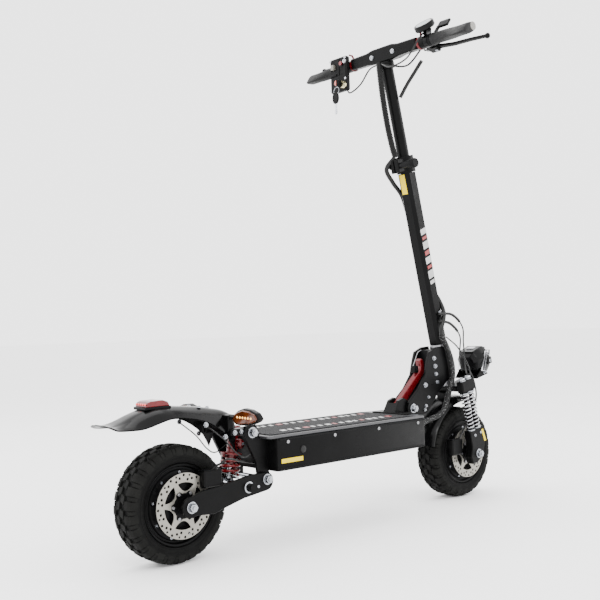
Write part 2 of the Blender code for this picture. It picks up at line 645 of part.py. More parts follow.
def add_fork(scooter):
    """Fork legs with their guide rods, the coils, the front axle and the caliper."""
    leg = [(-0.038, 0.2040), (0.022, 0.2040), (0.027, 0.166), (0.010, 0.140), (-0.006, 0.120),
           (-0.030, 0.1120), (-0.050, 0.1150), (-0.052, 0.136), (-0.040, 0.160)]
    axle = (WHEELBASE, WHEEL_RADIUS)
    axle_forward, _, axle_up = STEERING.inverted() @ Vector((axle[0], 0, axle[1]))
    for name, side in (("left", 1), ("right", -1)):
        inner, outer = sorted((side * LEG_Y[0], side * LEG_Y[1]))
        middle = side * sum(LEG_Y) / 2
        solids = [prism(leg, inner, outer, chamfer=0.002)]
        coils, holes = [], []
        for offset in (-COIL_SPACING / 2, COIL_SPACING / 2):
            x = LEG_OFFSET + offset
            solids.append(rod((x, middle, 0.200), (x, middle, 0.3175), 0.0052, 12))
            coils.append(coil((x, middle, FRONT_COIL[0]), (x, middle, FRONT_COIL[1]), 0.0098, 0.0018, 6, 8, 3))
            holes.append(rod((x, middle, 0.19), (x, middle, 0.33), 0.0060, 12))
        bore = across(axle_forward, axle_up, inner - 0.01, outer + 0.01, AXLE_RADIUS + BORE_GAP)
        scooter.add("fork_leg_" + name, "black_frame", solids, [bore], frame=STEERING)
        for low, high in ((0.2043, 0.2083), (0.3102, 0.3132)):
            x0, x1 = LEG_OFFSET - 0.0275, LEG_OFFSET + 0.0275
            corners = rounded_rectangle((x0, middle - 0.0113), (x1, middle + 0.0113), 0.009, 3)
            coils.append(prism(corners, low, high, "Z"))
        order = [coils[2], coils[0], coils[1], coils[3]]
        scooter.add("front_spring_" + name, "spring_chrome", order, holes, frame=STEERING)
    scooter.add("front_axle", "zinc", [through_bolt(*axle, LEG_Y[1])], origin=(axle[0], 0, axle[1]))
    scooter.add("front_caliper", "black_frame",
                *caliper((0.882, 0.128), (0.926, 0.172), LEG_Y[0], (0.892, 0.120), (0.940, 0.180)))


def add_upper_stem(scooter):
    """Telescopic tube, handlebar block and the cable loom behind them."""
    top = BLOCK_CENTRE[1] - 0.0200
    tube = rod((0, 0, UPPER_TUBE_FOOT), (0, 0, top), UPPER_TUBE_RADIUS, FINE_ROUND)
    core = rod((0, 0, UPPER_TUBE_FOOT - 0.01), (0, 0, top - 0.012), UPPER_TUBE_RADIUS - 0.002)
    scooter.add("stem_upper", "black_frame", [tube], [core], frame=STEERING)
    middle = BLOCK_CENTRE[1]
    half = BLOCK_HALF
    outline = [(-half, middle - 0.0150), (-0.058, middle - 0.0160), (-0.036, middle - 0.0197),
               (0.036, middle - 0.0197), (0.058, middle - 0.0160), (half, middle - 0.0150),
               (half, middle + 0.0150), (0.058, middle + 0.0160), (0.036, middle + 0.0200),
               (-0.036, middle + 0.0200), (-0.058, middle + 0.0160), (-half, middle + 0.0150)]
    x = BLOCK_CENTRE[0]
    block = prism(outline, x - 0.018, x + 0.018, "X", 0.003)
    scooter.add("handlebar_block", "black_frame", [block], frame=STEERING)
    route = [(-0.0290, 0, 1.2500), (-0.0340, 0, 1.215), (-0.0400, 0, 1.150), (-0.0420, 0, 1.080),
             (-0.0385, 0, 1.020), (-0.0340, 0, 0.993)]
    loom = swept(smooth_path(route, 3), 0.0090, 10)
    scooter.add("cable_loom", "matte_plastic", [loom], frame=STEERING)


# --- handlebar controls -------------------------------------------------------------------------
def bar_side(name):
    """+1 for the left side and -1 for the right."""
    return 1 if name == "left" else -1


def bar_frame(angle=0.0):
    """The frame of a piece drawn about the bar's axis, turned up from straight ahead."""
    return BAR_CENTRE @ Matrix.Rotation(-angle, 4, "Y")


def bar_sleeve(side, low, high, radius):
    """A round blank on the bar between two distances from the middle, before it is bored."""
    return rod((0, side * low, 0), (0, side * high, 0), radius)


def add_bar(scooter, name):
    """One handlebar half: folding tube, grip, brake perch and brake lever."""
    side = bar_side(name)
    fit = BAR_RADIUS + GAP + 0.0001
    angle = PERCH_ANGLE[name]
    tube = [rod((0, side * (BLOCK_HALF + GAP), 0), (0, side * BAR_END, 0), BAR_RADIUS),
            bar_sleeve(side, BLOCK_HALF + GAP, 0.1280, 0.0150)]
    scooter.add("bar_" + name, "black_frame", tube, frame=bar_frame())

    sleeve = bar_sleeve(side, *GRIP_Y, GRIP_RADIUS)
    wing_edge = [(0.0, 0.196), (-0.022, 0.210), (-0.038, 0.235), (-0.046, 0.262), (-0.044, 0.284),
                 (-0.034, 0.2945), (0.0, 0.2945)]
    wing = prism([(x, side * y) for x, y in wing_edge], -0.0065, 0.0065, "Z", 0.002)
    socket = rod((0, side * 0.15, 0), (0, side * (BAR_END + GAP), 0), fit)
    scooter.add("grip_" + name, "rubber", [sleeve, wing], [socket], frame=bar_frame(GRIP_DROOP))

    pivot_x, pivot_y = LEVER_PIVOT
    low, high = sorted((side * (PERCH_Y[0] + 0.0006), side * 0.158))
    perch = [bar_sleeve(side, *PERCH_Y, 0.0165),
             box((0.012, low, -0.0095), (0.046, high, 0.0095), 0.0015)]
    low, high = sorted((side * (PERCH_Y[1] - 0.001), side * 0.170))
    bores = [rod((0, side * 0.12, 0), (0, side * 0.17, 0), fit),
             box((0.023, low, -0.0048), (0.060, high, 0.0048)),
             box((-0.020, side * PERCH_Y[1] + min(0, side) * 0.03, -0.020),
                 (0.0240, side * PERCH_Y[1] + max(0, side) * 0.03, 0.020))]
    pin = rod((pivot_x, side * pivot_y, -0.006), (pivot_x, side * pivot_y, 0.006), 0.0026, 12)
    scooter.add("brake_perch_" + name, "black_frame", perch, bores, [pin], frame=bar_frame(angle))

    edge = [(0.044, 0.151), (0.046, 0.170), (0.052, 0.200), (0.055, 0.250), (0.061, 0.298),
            (0.053, 0.298), (0.046, 0.250), (0.042, 0.200), (0.034, 0.172), (0.029, 0.158)]
    blade = prism([(x, side * y) for x, y in edge], -0.0036, 0.0036, "Z", 0.0008)
    boss = rod((pivot_x, side * pivot_y, -0.0044), (pivot_x, side * pivot_y, 0.0044), 0.0088)
    tip = ball((0.057, side * 0.2975, 0), 0.0075)
    hole = rod((pivot_x, side * pivot_y, -0.01), (pivot_x, side * pivot_y, 0.01), 0.0031, 12)
    origin = bar_frame(angle) @ Vector((pivot_x, side * pivot_y, 0))
    scooter.add("brake_lever_" + name, "black_frame", [blade, boss, tip], [hole], frame=bar_frame(angle),
                origin=origin)


def add_left_controls(scooter):
    """Switch pod with its lock, horn button, light button, signal slider and the hanging key."""
    back, front = 0.6970, 0.7148
    horn, light, signal = (0.156, 1.190), (0.141, 1.244), (0.173, 1.238)
    body = [moved(bar_sleeve(1, 0.1435, 0.1640, 0.0165), BAR_CENTRE),
            box((back, 0.1222, 1.166), (front, 0.1890, 1.264), 0.004),
            box((front - 0.004, 0.1440, 1.228), (0.7260, 0.1635, 1.252)),
            rod((0.6840, 0.132, 1.181), (0.7000, 0.132, 1.181), 0.0090),
            box((0.6660, 0.1305, 1.171), (0.6850, 0.1335, 1.191), 0.001)]
    cuts = [across(BAR_X, BAR_Z, 0.13, 0.18, BAR_RADIUS + BORE_GAP),
            rod((back - 0.01, *horn), (back + 0.0046, *horn), 0.0084),
            rod((back - 0.01, *light), (back + 0.0046, *light), 0.0064),
            box((back - 0.01, 0.1620, 1.2300), (back + 0.0040, 0.1840, 1.2460))]
    scooter.add("switch_pod", "matte_plastic", body, cuts)
    scooter.add("horn_button", "orange_plastic", [rod((0.6890, *horn), (back + 0.0020, *horn), 0.0080)],
                origin=(back, *horn))
    scooter.add("light_button", "red_paint", [rod((0.6925, *light), (back + 0.0020, *light), 0.0060)],
                origin=(back, *light))
    scooter.add("signal_switch", "grey_plastic",
                [box((0.6900, 0.1675, 1.2305), (back + 0.0036, 0.1785, 1.2455), 0.001)], origin=(back, *signal))
    head = prism([(0.1435 + y, 1.1420 + z) for y, z in [(0.0115 * math.cos(a), 0.0175 * math.sin(a))
                  for a in [2 * math.pi * i / 20 for i in range(20)]]], 0.6712, 0.6762, "X", 0.001)
    blade = box((0.6728, 0.1395, 1.0950), (0.6748, 0.1475, 1.1300))
    eye = rod((0.66, 0.1435, 1.1540), (0.69, 0.1435, 1.1540), 0.0025, 12)
    scooter.add("key", "matte_plastic", [head, blade], [eye], origin=(0.6740, 0.1435, 1.1540))


def add_right_controls(scooter):
    """Round display on its clamp, and the thumb throttle beside it."""
    face = Vector((-0.6, 0, 0.8))
    centre = Vector((0.722, -0.1475, 1.2780))
    body = [moved(bar_sleeve(-1, 0.1435, 0.1560, 0.0165), BAR_CENTRE),
            rod(centre - face * 0.008, centre + face * 0.008, 0.0275, 32),
            box((0.7200, -0.1555, 1.2520), (0.7400, -0.1440, 1.2740))]
    bore = across(BAR_X, BAR_Z, -0.18, -0.13, BAR_RADIUS + BORE_GAP)
    scooter.add("display", "black_plastic", body, [bore])
    arm = [bar_sleeve(-1, 0.1565, 0.1645, 0.0162),
           box((0.012, -0.1640, -0.004), (0.052, -0.1570, 0.004), 0.001),
           box((0.046, -0.1930, -0.0035), (0.070, -0.1576, 0.0035), 0.0015)]
    bore = rod((0, -0.13, 0), (0, -0.18, 0), BAR_RADIUS + BORE_GAP)
    scooter.add("throttle_lever", "matte_plastic", arm, [bore], frame=bar_frame(THROTTLE_ANGLE),
                origin=(BAR_X, 0, BAR_Z))


def main():
    for old in list(bpy.data.objects):
        bpy.data.objects.remove(old, do_unlink=True)
    scooter = Scooter()
    add_deck(scooter)
    add_rear_bracket(scooter)
    add_rear_fender(scooter)
    add_kickstand(scooter)
    add_head(scooter)
    add_fold_lever(scooter)
    add_steerer(scooter)
    add_fork(scooter)
    add_wheel(scooter, "front", WHEELBASE)
    add_wheel(scooter, "rear", 0.0)
    add_swingarm(scooter)
    add_shock(scooter)
    add_upper_stem(scooter)
    for name in ("left", "right"):
        add_bar(scooter, name)
    add_left_controls(scooter)
    add_right_controls(scooter)


main()
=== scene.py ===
"""The looks of the electric kick scooter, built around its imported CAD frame."""
import json
import math

import bmesh
import bpy
from mathutils import Matrix, Vector


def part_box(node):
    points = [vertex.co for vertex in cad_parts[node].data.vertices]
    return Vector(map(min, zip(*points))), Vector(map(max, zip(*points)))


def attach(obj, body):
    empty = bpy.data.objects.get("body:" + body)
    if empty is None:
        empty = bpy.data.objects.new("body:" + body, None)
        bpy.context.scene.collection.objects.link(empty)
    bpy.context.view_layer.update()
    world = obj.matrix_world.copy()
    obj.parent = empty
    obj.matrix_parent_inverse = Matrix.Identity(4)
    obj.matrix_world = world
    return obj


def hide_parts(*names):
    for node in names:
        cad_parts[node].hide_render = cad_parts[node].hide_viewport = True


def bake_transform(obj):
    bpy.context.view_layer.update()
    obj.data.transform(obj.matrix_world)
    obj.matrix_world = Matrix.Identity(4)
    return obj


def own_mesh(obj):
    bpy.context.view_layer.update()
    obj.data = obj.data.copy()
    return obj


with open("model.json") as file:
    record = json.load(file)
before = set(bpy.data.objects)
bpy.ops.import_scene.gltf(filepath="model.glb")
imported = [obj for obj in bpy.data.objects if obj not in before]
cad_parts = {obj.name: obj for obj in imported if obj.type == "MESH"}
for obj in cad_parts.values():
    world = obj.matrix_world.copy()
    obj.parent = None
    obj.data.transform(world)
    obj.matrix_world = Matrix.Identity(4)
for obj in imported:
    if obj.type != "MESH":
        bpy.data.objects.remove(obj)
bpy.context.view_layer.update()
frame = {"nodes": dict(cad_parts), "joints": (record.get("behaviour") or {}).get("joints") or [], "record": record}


# --- places read from the frame -----------------------------------------------------------------
def middle(node):
    """The centre of a CAD node's box."""
    low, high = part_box(node)
    return (Vector(low) + Vector(high)) / 2


def joint(name):
    """One joint of the record."""
    return next(entry for entry in frame["joints"] if entry["name"] == name)


REAR = Matrix.Translation((middle("rear_tyre").x, 0, 0))
REAR_AXLE = middle("rear_tyre")
FRONT_AXLE = middle("front_tyre")
WHEEL_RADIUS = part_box("rear_tyre")[1][2] - REAR_AXLE.z
UP = Vector(joint("steering")["axis"])
STEER_POINT = Vector(joint("steering")["pos_m"])
STEER_FOOT = STEER_POINT - UP * (STEER_POINT.z / UP.z)
STEER = Matrix(((UP.z, 0, UP.x, STEER_FOOT.x), (0, 1, 0, 0), (-UP.x, 0, UP.z, 0), (0, 0, 0, 1)))
BAR = Matrix.Translation((middle("bar_left").x, 0, middle("bar_left").z))
DISC_Y = middle("rear_disc").y
LID_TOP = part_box("deck_lid")[1][2]
GRIP_DROOP = math.radians(28)
TREAD_PITCHES = 26
DISC_WINDOWS = 6
LENS_MM = 52.786
SENSOR_MM = 36.0
CAMERA_PLACE = (-1.054, -1.628, 0.507)
CAMERA_RIGHT = Vector((0.74846, -0.66256, -0.02884))
CAMERA_UP = Vector((0.00367, -0.03936, 0.99921))
CAMERA_FORWARD = Vector((0.66317, 0.74797, 0.02703))
ROOM_STRENGTH = 3.2


def rear(x, y, z):
    """A point in the frame whose origin is on the ground below the rear axle."""
    return REAR @ Vector((x, y, z))


def steer(x, y, z):
    """A point in the frame that leans back with the steering axis."""
    return STEER @ Vector((x, y, z))


def bar(x, y, z):
    """A point seen from the middle of the handlebar tube."""
    return BAR @ Vector((x, y, z))


# --- materials ------------------------------------------------------------------------------------
def new_material(name, rough, metallic=0.0, coat=0.0, shine=0.5):
    """An empty Principled material with its uniform values set on the shader."""
    made = bpy.data.materials.new(name)
    made.use_nodes = True
    shader = made.node_tree.nodes["Principled BSDF"]
    shader.inputs["Roughness"].default_value = rough
    shader.inputs["Metallic"].default_value = metallic
    shader.inputs["Coat Weight"].default_value = coat
    shader.inputs["Coat Roughness"].default_value = 0.12
    shader.inputs["Specular IOR Level"].default_value = shine
    return made, made.node_tree, shader


def noise(tree, scale, detail=4.0):
    """Noise in the object's own coordinates."""
    place = tree.nodes.new("ShaderNodeTexCoord")
    node = tree.nodes.new("ShaderNodeTexNoise")
    node.inputs["Scale"].default_value = scale
    node.inputs["Detail"].default_value = detail
    tree.links.new(place.outputs["Object"], node.inputs["Vector"])
    return node.outputs["Fac"]


def ramp(tree, source, stops):
    """A colour ramp over a 0 to 1 value."""
    node = tree.nodes.new("ShaderNodeValToRGB")
    elements = node.color_ramp.elements
    while len(elements) < len(stops):
        elements.new(0.5)
    for element, (position, colour) in zip(elements, stops):
        element.position = position
        element.color = (*colour, 1)
    tree.links.new(source, node.inputs["Fac"])
    return node.outputs["Color"]


def spread(tree, source, low, high):
    """Map a noise value's middle range onto low to high."""
    node = tree.nodes.new("ShaderNodeMapRange")
    node.inputs["From Min"].default_value = 0.3
    node.inputs["From Max"].default_value = 0.7
    node.inputs["To Min"].default_value = low
    node.inputs["To Max"].default_value = high
    tree.links.new(source, node.inputs["Value"])
    return node.outputs["Result"]


def bumped(tree, shader, height, strength, distance):
    """Add a bump from a height value."""
    node = tree.nodes.new("ShaderNodeBump")
    node.inputs["Strength"].default_value = strength
    node.inputs["Distance"].default_value = distance
    tree.links.new(height, node.inputs["Height"])
    tree.links.new(node.outputs["Normal"], shader.inputs["Normal"])


def finish(name, colour, rough, metallic=0.0, coat=0.0, vary=0.25, patch=18.0, grain=900.0, bump=0.15,
           shine=0.5):
    """A finish with blotchy colour, uneven gloss and a fine grain."""
    made, tree, shader = new_material(name, rough, metallic, coat, shine)
    dark = tuple(c * (1 - vary) for c in colour)
    light = tuple(c * (1 + vary) for c in colour)
    tree.links.new(ramp(tree, noise(tree, patch), [(0.3, dark), (0.7, light)]), shader.inputs["Base Color"])
    low, high = max(rough - 0.07, 0.03), min(rough + 0.07, 1.0)
    tree.links.new(spread(tree, noise(tree, patch * 4), low, high), shader.inputs["Roughness"])
    bumped(tree, shader, noise(tree, grain, 2.0), bump, 0.0006)
    return made


def banded(name, colour, dark, rough, scale, axis, metallic=0.0, strength=0.6, distance=0.0008,
           shape="BANDS"):
    """A finish with regular bands or rings, for braid, ribs and turned metal."""
    made, tree, shader = new_material(name, rough, metallic, 0.0, 0.2)
    place = tree.nodes.new("ShaderNodeTexCoord")
    wave = tree.nodes.new("ShaderNodeTexWave")
    wave.wave_type = shape
    if shape == "BANDS":
        wave.bands_direction = axis
    else:
        wave.rings_direction = axis
    wave.inputs["Scale"].default_value = scale
    wave.inputs["Distortion"].default_value = 0.4
    tree.links.new(place.outputs["Object"], wave.inputs["Vector"])
    tree.links.new(ramp(tree, wave.outputs["Fac"], [(0.2, dark), (0.8, colour)]),
                   shader.inputs["Base Color"])
    tree.links.new(spread(tree, noise(tree, 80), rough - 0.06, rough + 0.08), shader.inputs["Roughness"])
    bumped(tree, shader, wave.outputs["Fac"], strength, distance)
    return made


def cells(name, colour, dark, rough, scale, metallic=0.0, strength=0.8, distance=0.0006, glow=0.0,
          fill=0.6):
    """A finish with small cells, for reflectors, braid and grip tape, with an optional painted glow."""
    made, tree, shader = new_material(name, rough, metallic, 0.0, 0.2)
    place = tree.nodes.new("ShaderNodeTexCoord")
    node = tree.nodes.new("ShaderNodeTexVoronoi")
    node.inputs["Scale"].default_value = scale
    tree.links.new(place.outputs["Object"], node.inputs["Vector"])
    shade = ramp(tree, node.outputs["Distance"], [(0.1, dark), (fill, colour)])
    tree.links.new(shade, shader.inputs["Base Color"])
    bumped(tree, shader, node.outputs["Distance"], strength, distance)
    # glow is a painted glow: emission on a part that is no lamp, standing in for light the reflectors throw back.
    if glow:
        shader.inputs["Emission Color"].default_value = (*colour, 1)
        shader.inputs["Emission Strength"].default_value = glow
    return made


def lamp(name, colour, strength, rough=0.2):
    """A lit lens or display segment, brighter in some patches."""
    made, tree, shader = new_material(name, rough)
    dim = tuple(c * 0.6 for c in colour)
    shade = ramp(tree, noise(tree, 300), [(0.35, dim), (0.65, colour)])
    tree.links.new(shade, shader.inputs["Base Color"])
    tree.links.new(shade, shader.inputs["Emission Color"])
    shader.inputs["Emission Strength"].default_value = strength
    return made


BLACK = finish("powder_black", (0.0016, 0.0016, 0.0017), 0.34, 0.0, 0.0, 0.4, 14, 1400, 0.25, 0.07)
GLOSS = finish("gloss_black", (0.0014, 0.0014, 0.0015), 0.2, 0.0, 0.03, 0.35, 10, 500, 0.06, 0.1)
MATTE = finish("moulded_black", (0.0026, 0.0026, 0.0028), 0.5, 0.0, 0.0, 0.35, 30, 1800, 0.35, 0.07)
GRIP = banded("grip_rubber", (0.0075, 0.0075, 0.0078), (0.003, 0.003, 0.003), 0.62, 70, "Y", 0, 0.35,
              0.0006)
TYRE = finish("tyre_rubber", (0.0026, 0.0026, 0.0025), 0.62, 0.0, 0.0, 0.4, 26, 700, 0.5, 0.06)
TREAD = finish("tread_rubber", (0.0046, 0.0046, 0.0042), 0.74, 0.0, 0.0, 0.4, 40, 900, 0.6, 0.08)
EDGE = finish("deck_edge_metal", (0.055, 0.055, 0.058), 0.36, 0.7, 0.0, 0.2, 20, 1200, 0.15)
MAT = cells("grip_tape", (0.012, 0.012, 0.013), (0.003, 0.003, 0.003), 0.85, 900)
PRINT_WHITE = finish("print_white", (0.36, 0.36, 0.36), 0.5, 0, 0, 0.12, 30, 900, 0.15)
PRINT_RED = finish("print_red", (0.2, 0.004, 0.006), 0.45, 0, 0, 0.15, 30, 900, 0.15)
ZINC = finish("zinc_plate", (0.3, 0.31, 0.33), 0.22, 1.0, 0.0, 0.12, 120, 1600, 0.12)
STEEL = finish("dull_steel", (0.3, 0.3, 0.31), 0.38, 1.0, 0.0, 0.15, 90, 1600, 0.15)
DISC = banded("ground_disc", (0.27, 0.26, 0.23), (0.2, 0.19, 0.17), 0.36, 260, "Y", 0.75, 0.1, 0.0002,
              "RINGS")
CHROME = finish("chromed_wire", (0.42, 0.42, 0.44), 0.14, 1.0, 0.0, 0.06, 60, 900, 0.04)
RED = finish("red_anodised", (0.085, 0.001, 0.003), 0.28, 0.25, 0.2, 0.2, 16, 900, 0.08, 0.3)
RED_COIL = finish("red_coil", (0.105, 0.0012, 0.003), 0.24, 0.1, 0.3, 0.2, 20, 800, 0.08, 0.3)
RED_LENS = finish("red_lens", (0.1, 0.0012, 0.003), 0.12, 0.0, 0.2, 0.25, 60, 300, 0.1, 0.3)
AMBER = finish("smoked_amber", (0.055, 0.011, 0.0015), 0.12, 0.0, 0.2, 0.5, 60, 300, 0.12, 0.3)
LED = lamp("amber_led", (1.0, 0.5, 0.14), 2.2)
# The reflectors carry a faint painted glow (emission 0.05), standing in for reflected light.
REFLECT = cells("yellow_reflector", (0.62, 0.46, 0.0), (0.52, 0.36, 0.0), 0.45, 500, 0, 0.3, 0.0003, 0.05)
LENS = finish("lamp_lens", (0.55, 0.57, 0.6), 0.08, 0.0, 0.8, 0.15, 80, 250, 0.3)
SILVER = finish("silver_trim", (0.42, 0.42, 0.44), 0.32, 0.8, 0.2, 0.15, 40, 900, 0.1)
BRASS = finish("lock_brass", (0.55, 0.5, 0.3), 0.3, 1.0, 0.0, 0.15, 90, 900, 0.15)
ORANGE = finish("orange_button", (0.3, 0.028, 0.008), 0.35, 0, 0.3, 0.12, 60, 900, 0.1)
GREY = finish("grey_rocker", (0.11, 0.105, 0.09), 0.42, 0, 0.1, 0.12, 60, 900, 0.15)
SLEEVE = finish("ribbed_sleeve", (0.0045, 0.0045, 0.0045), 0.42, 0, 0.0, 0.3, 60, 900, 0.3, 0.2)
BRAID = cells("braided_sleeve", (0.004, 0.004, 0.004), (0.4, 0.4, 0.4), 0.55, 300, 0, 0.9, 0.0008,
              fill=0.24)
CABLE = finish("cable_jacket", (0.004, 0.004, 0.004), 0.32, 0, 0.05, 0.3, 80, 900, 0.1, 0.2)
SCREEN = finish("display_glass", (0.01, 0.012, 0.016), 0.08, 0.0, 1.0, 0.2, 30, 300, 0.02)
SEGMENT = lamp("display_segments", (0.55, 0.75, 0.85), 0.5)
WRAP = finish("battery_wrap", (0.03, 0.08, 0.22), 0.35, 0, 0.3, 0.2, 40, 600, 0.15)
CAST = finish("cast_housing", (0.22, 0.22, 0.23), 0.5, 0.8, 0, 0.2, 40, 700, 0.3)
PAPER = finish("pale_floor", (0.93, 0.93, 0.93), 0.7, 0, 0, 0.01, 2, 60, 0.01)


# --- mesh tools -----------------------------------------------------------------------------------
def piece(name, shape, material, body, slot=None, sharp=35, hides=()):
    """Make a bmesh a finished piece that rides on a body, or stands free when body is None."""
    bmesh.ops.recalc_face_normals(shape, faces=shape.faces)
    mesh = bpy.data.meshes.new(name)
    shape.to_mesh(mesh)
    shape.free()
    mesh.materials.append(material)
    mesh.shade_smooth()
    mesh.set_sharp_from_angle(angle=math.radians(sharp))
    made = bpy.data.objects.new(name, mesh)
    bpy.context.scene.collection.objects.link(made)
    if body:
        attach(made, body)
    if hides:
        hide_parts(*hides)
    return made


def add_lathe(shape, profile, base, direction, steps=48):
    """Turn an open or axis-to-axis (radius, along) profile into a bmesh; a closed one repeats its start."""
    spin = Vector((0, 0, 1)).rotation_difference(Vector(direction).normalized())
    rings = []
    for radius, along in profile:
        count = 1 if radius < 1e-7 else steps
        turns = [2 * math.pi * i / steps for i in range(count)]
        points = [Vector((radius * math.cos(a), radius * math.sin(a), along)) for a in turns]
        rings.append([shape.verts.new(Vector(base) + spin @ p) for p in points])
    for first, second in zip(rings, rings[1:]):
        for i in range(steps):
            j = (i + 1) % steps
            ring = [first[i % len(first)], first[j % len(first)], second[j % len(second)],
                    second[i % len(second)]]
            ring = list(dict.fromkeys(ring))
            if len(ring) > 2:
                shape.faces.new(ring)
    return rings


def add_ring(shape, profile, base, direction, steps=48):
    """Turn a closed (radius, along) loop."""
    rings = add_lathe(shape, profile, base, direction, steps)
    last, first = rings[-1], rings[0]
    for i in range(steps):
        j = (i + 1) % steps
        shape.faces.new([last[i], last[j], first[j], first[i]])


def add_prism(shape, outline, low, high, matrix=None, normal="Y"):
    """Extrude an outline along one axis of a frame."""
    order = {"Y": lambda a, b, c: (a, c, b), "X": lambda a, b, c: (c, a, b), "Z": lambda a, b,
             c: (a, b, c)}[normal]
    matrix = matrix or Matrix()
    near = [shape.verts.new(matrix @ Vector(order(a, b, low))) for a, b in outline]
    far = [shape.verts.new(matrix @ Vector(order(a, b, high))) for a, b in outline]
    shape.faces.new(near)
    shape.faces.new(far[::-1])
    for i in range(len(outline)):
        j = (i + 1) % len(outline)
        shape.faces.new([near[i], near[j], far[j], far[i]])


def add_skin(shape, rings):
    """Join neighbouring closed rings of points with faces."""
    for ring, after in zip(rings, rings[1:]):
        for i in range(len(ring)):
            j = (i + 1) % len(ring)
            shape.faces.new([ring[i], ring[j], after[j], after[i]])


def add_shell(shape, top, under):
    """Skin two grids of rows and close the four edges between them."""
    columns = len(top[0]) - 1
    last = len(top) - 1
    for rows in (top, under):
        for first, second in zip(rows, rows[1:]):
            for i in range(columns):
                shape.faces.new([first[i], first[i + 1], second[i + 1], second[i]])
    for i in range(columns):
        for j in (0, last):
            shape.faces.new([top[j][i + 1], top[j][i], under[j][i], under[j][i + 1]])
    for j in range(last):
        for i in (0, columns):
            shape.faces.new([top[j][i], top[j + 1][i], under[j + 1][i], under[j][i]])


def helix(start, end, radius, turns, steps):
    """Points of a coil round the line from start to end."""
    along = end - start
    spin = Vector((0, 0, 1)).rotation_difference(along.normalized())
    total = int(turns * steps)
    points = []
    for i in range(total + 1):
        turn = 2 * math.pi * i / steps
        place = Vector((radius * math.cos(turn), radius * math.sin(turn), along.length * i / total))
        points.append(start + spin @ place)
    return points


def add_box(shape, low, high, matrix=None):
    """A block between two corners of a frame."""
    corners = [(low[0], low[1]), (high[0], low[1]), (high[0], high[1]), (low[0], high[1])]
    add_prism(shape, corners, low[2], high[2], matrix, "Z")


def softened(made, width, segments=2):
    """Round a piece's edges."""
    bevel = made.modifiers.new("edges", "BEVEL")
    bevel.width = width
    bevel.segments = segments
    bevel.limit_method = "ANGLE"
    bevel.angle_limit = math.radians(30)
    return made


def block(name, low, high, material, body, matrix=None, round_edge=0.001, **more):
    """A block with rounded edges."""
    shape = bmesh.new()
    add_box(shape, low, high, matrix)
    return softened(piece(name, shape, material, body, **more), round_edge)


def slab(name, outline, low, high, material, body, matrix=None, normal="Y", round_edge=0.001, **more):
    """An extruded outline with rounded edges."""
    shape = bmesh.new()
    add_prism(shape, outline, low, high, matrix, normal)
    return softened(piece(name, shape, material, body, **more), round_edge)


def arc(centre, radius, start, end, steps):
    """Points along an arc, in degrees, both ends included."""
    turns = [math.radians(start + (end - start) * i / steps) for i in range(steps + 1)]
    return [(centre[0] + radius * math.cos(a), centre[1] + radius * math.sin(a)) for a in turns]


def smooth_path(points, steps=6):
    """A Catmull-Rom curve through the points."""
    points = [Vector(p) for p in points]
    ends = [2 * points[0] - points[1]] + points + [2 * points[-1] - points[-2]]
    curve = []
    for a, b, c, d in zip(ends, ends[1:], ends[2:], ends[3:]):
        for i in range(steps):
            t = i / steps
            curve.append(0.5 * (2 * b + (c - a) * t + (2 * a - 5 * b + 4 * c - d) * t * t
                                + (3 * b - a - 3 * c + d) * t ** 3))
    return curve + [points[-1]]


def add_tube(shape, points, radii, sides=12):
    """A round tube along points, with one radius or one for each point."""
    points = [Vector(p) for p in points]
    radii = radii if isinstance(radii, (list, tuple)) else [radii] * len(points)
    first = (points[1] - points[0]).normalized()
    across = first.orthogonal().normalized()
    rings = []
    for i, (point, radius) in enumerate(zip(points, radii)):
        along = (points[min(i + 1, len(points) - 1)] - points[max(i - 1, 0)]).normalized()
        across = (across - along * across.dot(along)).normalized()
        other = along.cross(across)
        turns = [2 * math.pi * k / sides for k in range(sides)]
        spokes = [across * math.cos(a) + other * math.sin(a) for a in turns]
        rings.append([shape.verts.new(point + spoke * radius) for spoke in spokes])
    add_skin(shape, rings)
    shape.faces.new(rings[0][::-1])
    shape.faces.new(rings[-1])


def tube(name, points, radius, material, body, sides=12, steps=6, **more):
    """A smooth tube through a few points."""
    shape = bmesh.new()
    add_tube(shape, smooth_path(points, steps), radius, sides)
    return piece(name, shape, material, body, **more)


def bolt_head(shape, centre, direction, size, height, washer=0.0, socket=False):
    """A hex nut or a round socket head on an optional washer, standing out along a direction."""
    steps = 24
    if washer:
        rim = washer * 0.93
        add_lathe(shape, [(0, 0), (washer, 0), (washer, 0.0012), (rim, 0.0018), (0, 0.0018)], centre,
                  direction, steps)
        centre = Vector(centre) + Vector(direction).normalized() * 0.0018
    if socket:
        inner = size * 0.48
        profile = [(0, 0), (size, 0), (size, height * 0.75), (size * 0.9, height), (inner, height),
                   (inner, height * 0.35), (0, height * 0.35)]
        add_lathe(shape, profile, centre, direction, steps)
        return
    flat = size * 0.9
    add_lathe(shape, [(0, 0), (flat, 0), (size, height * 0.15), (size, height * 0.82), (flat, height),
                      (0, height)],
              centre, direction, 6)
    core = size * 0.5
    tip = height * 1.25
    add_lathe(shape, [(0, height * 0.9), (core, height * 0.9), (core, tip), (core * 0.8, tip * 1.04),
                      (0, tip * 1.04)],
              centre, direction, 16)


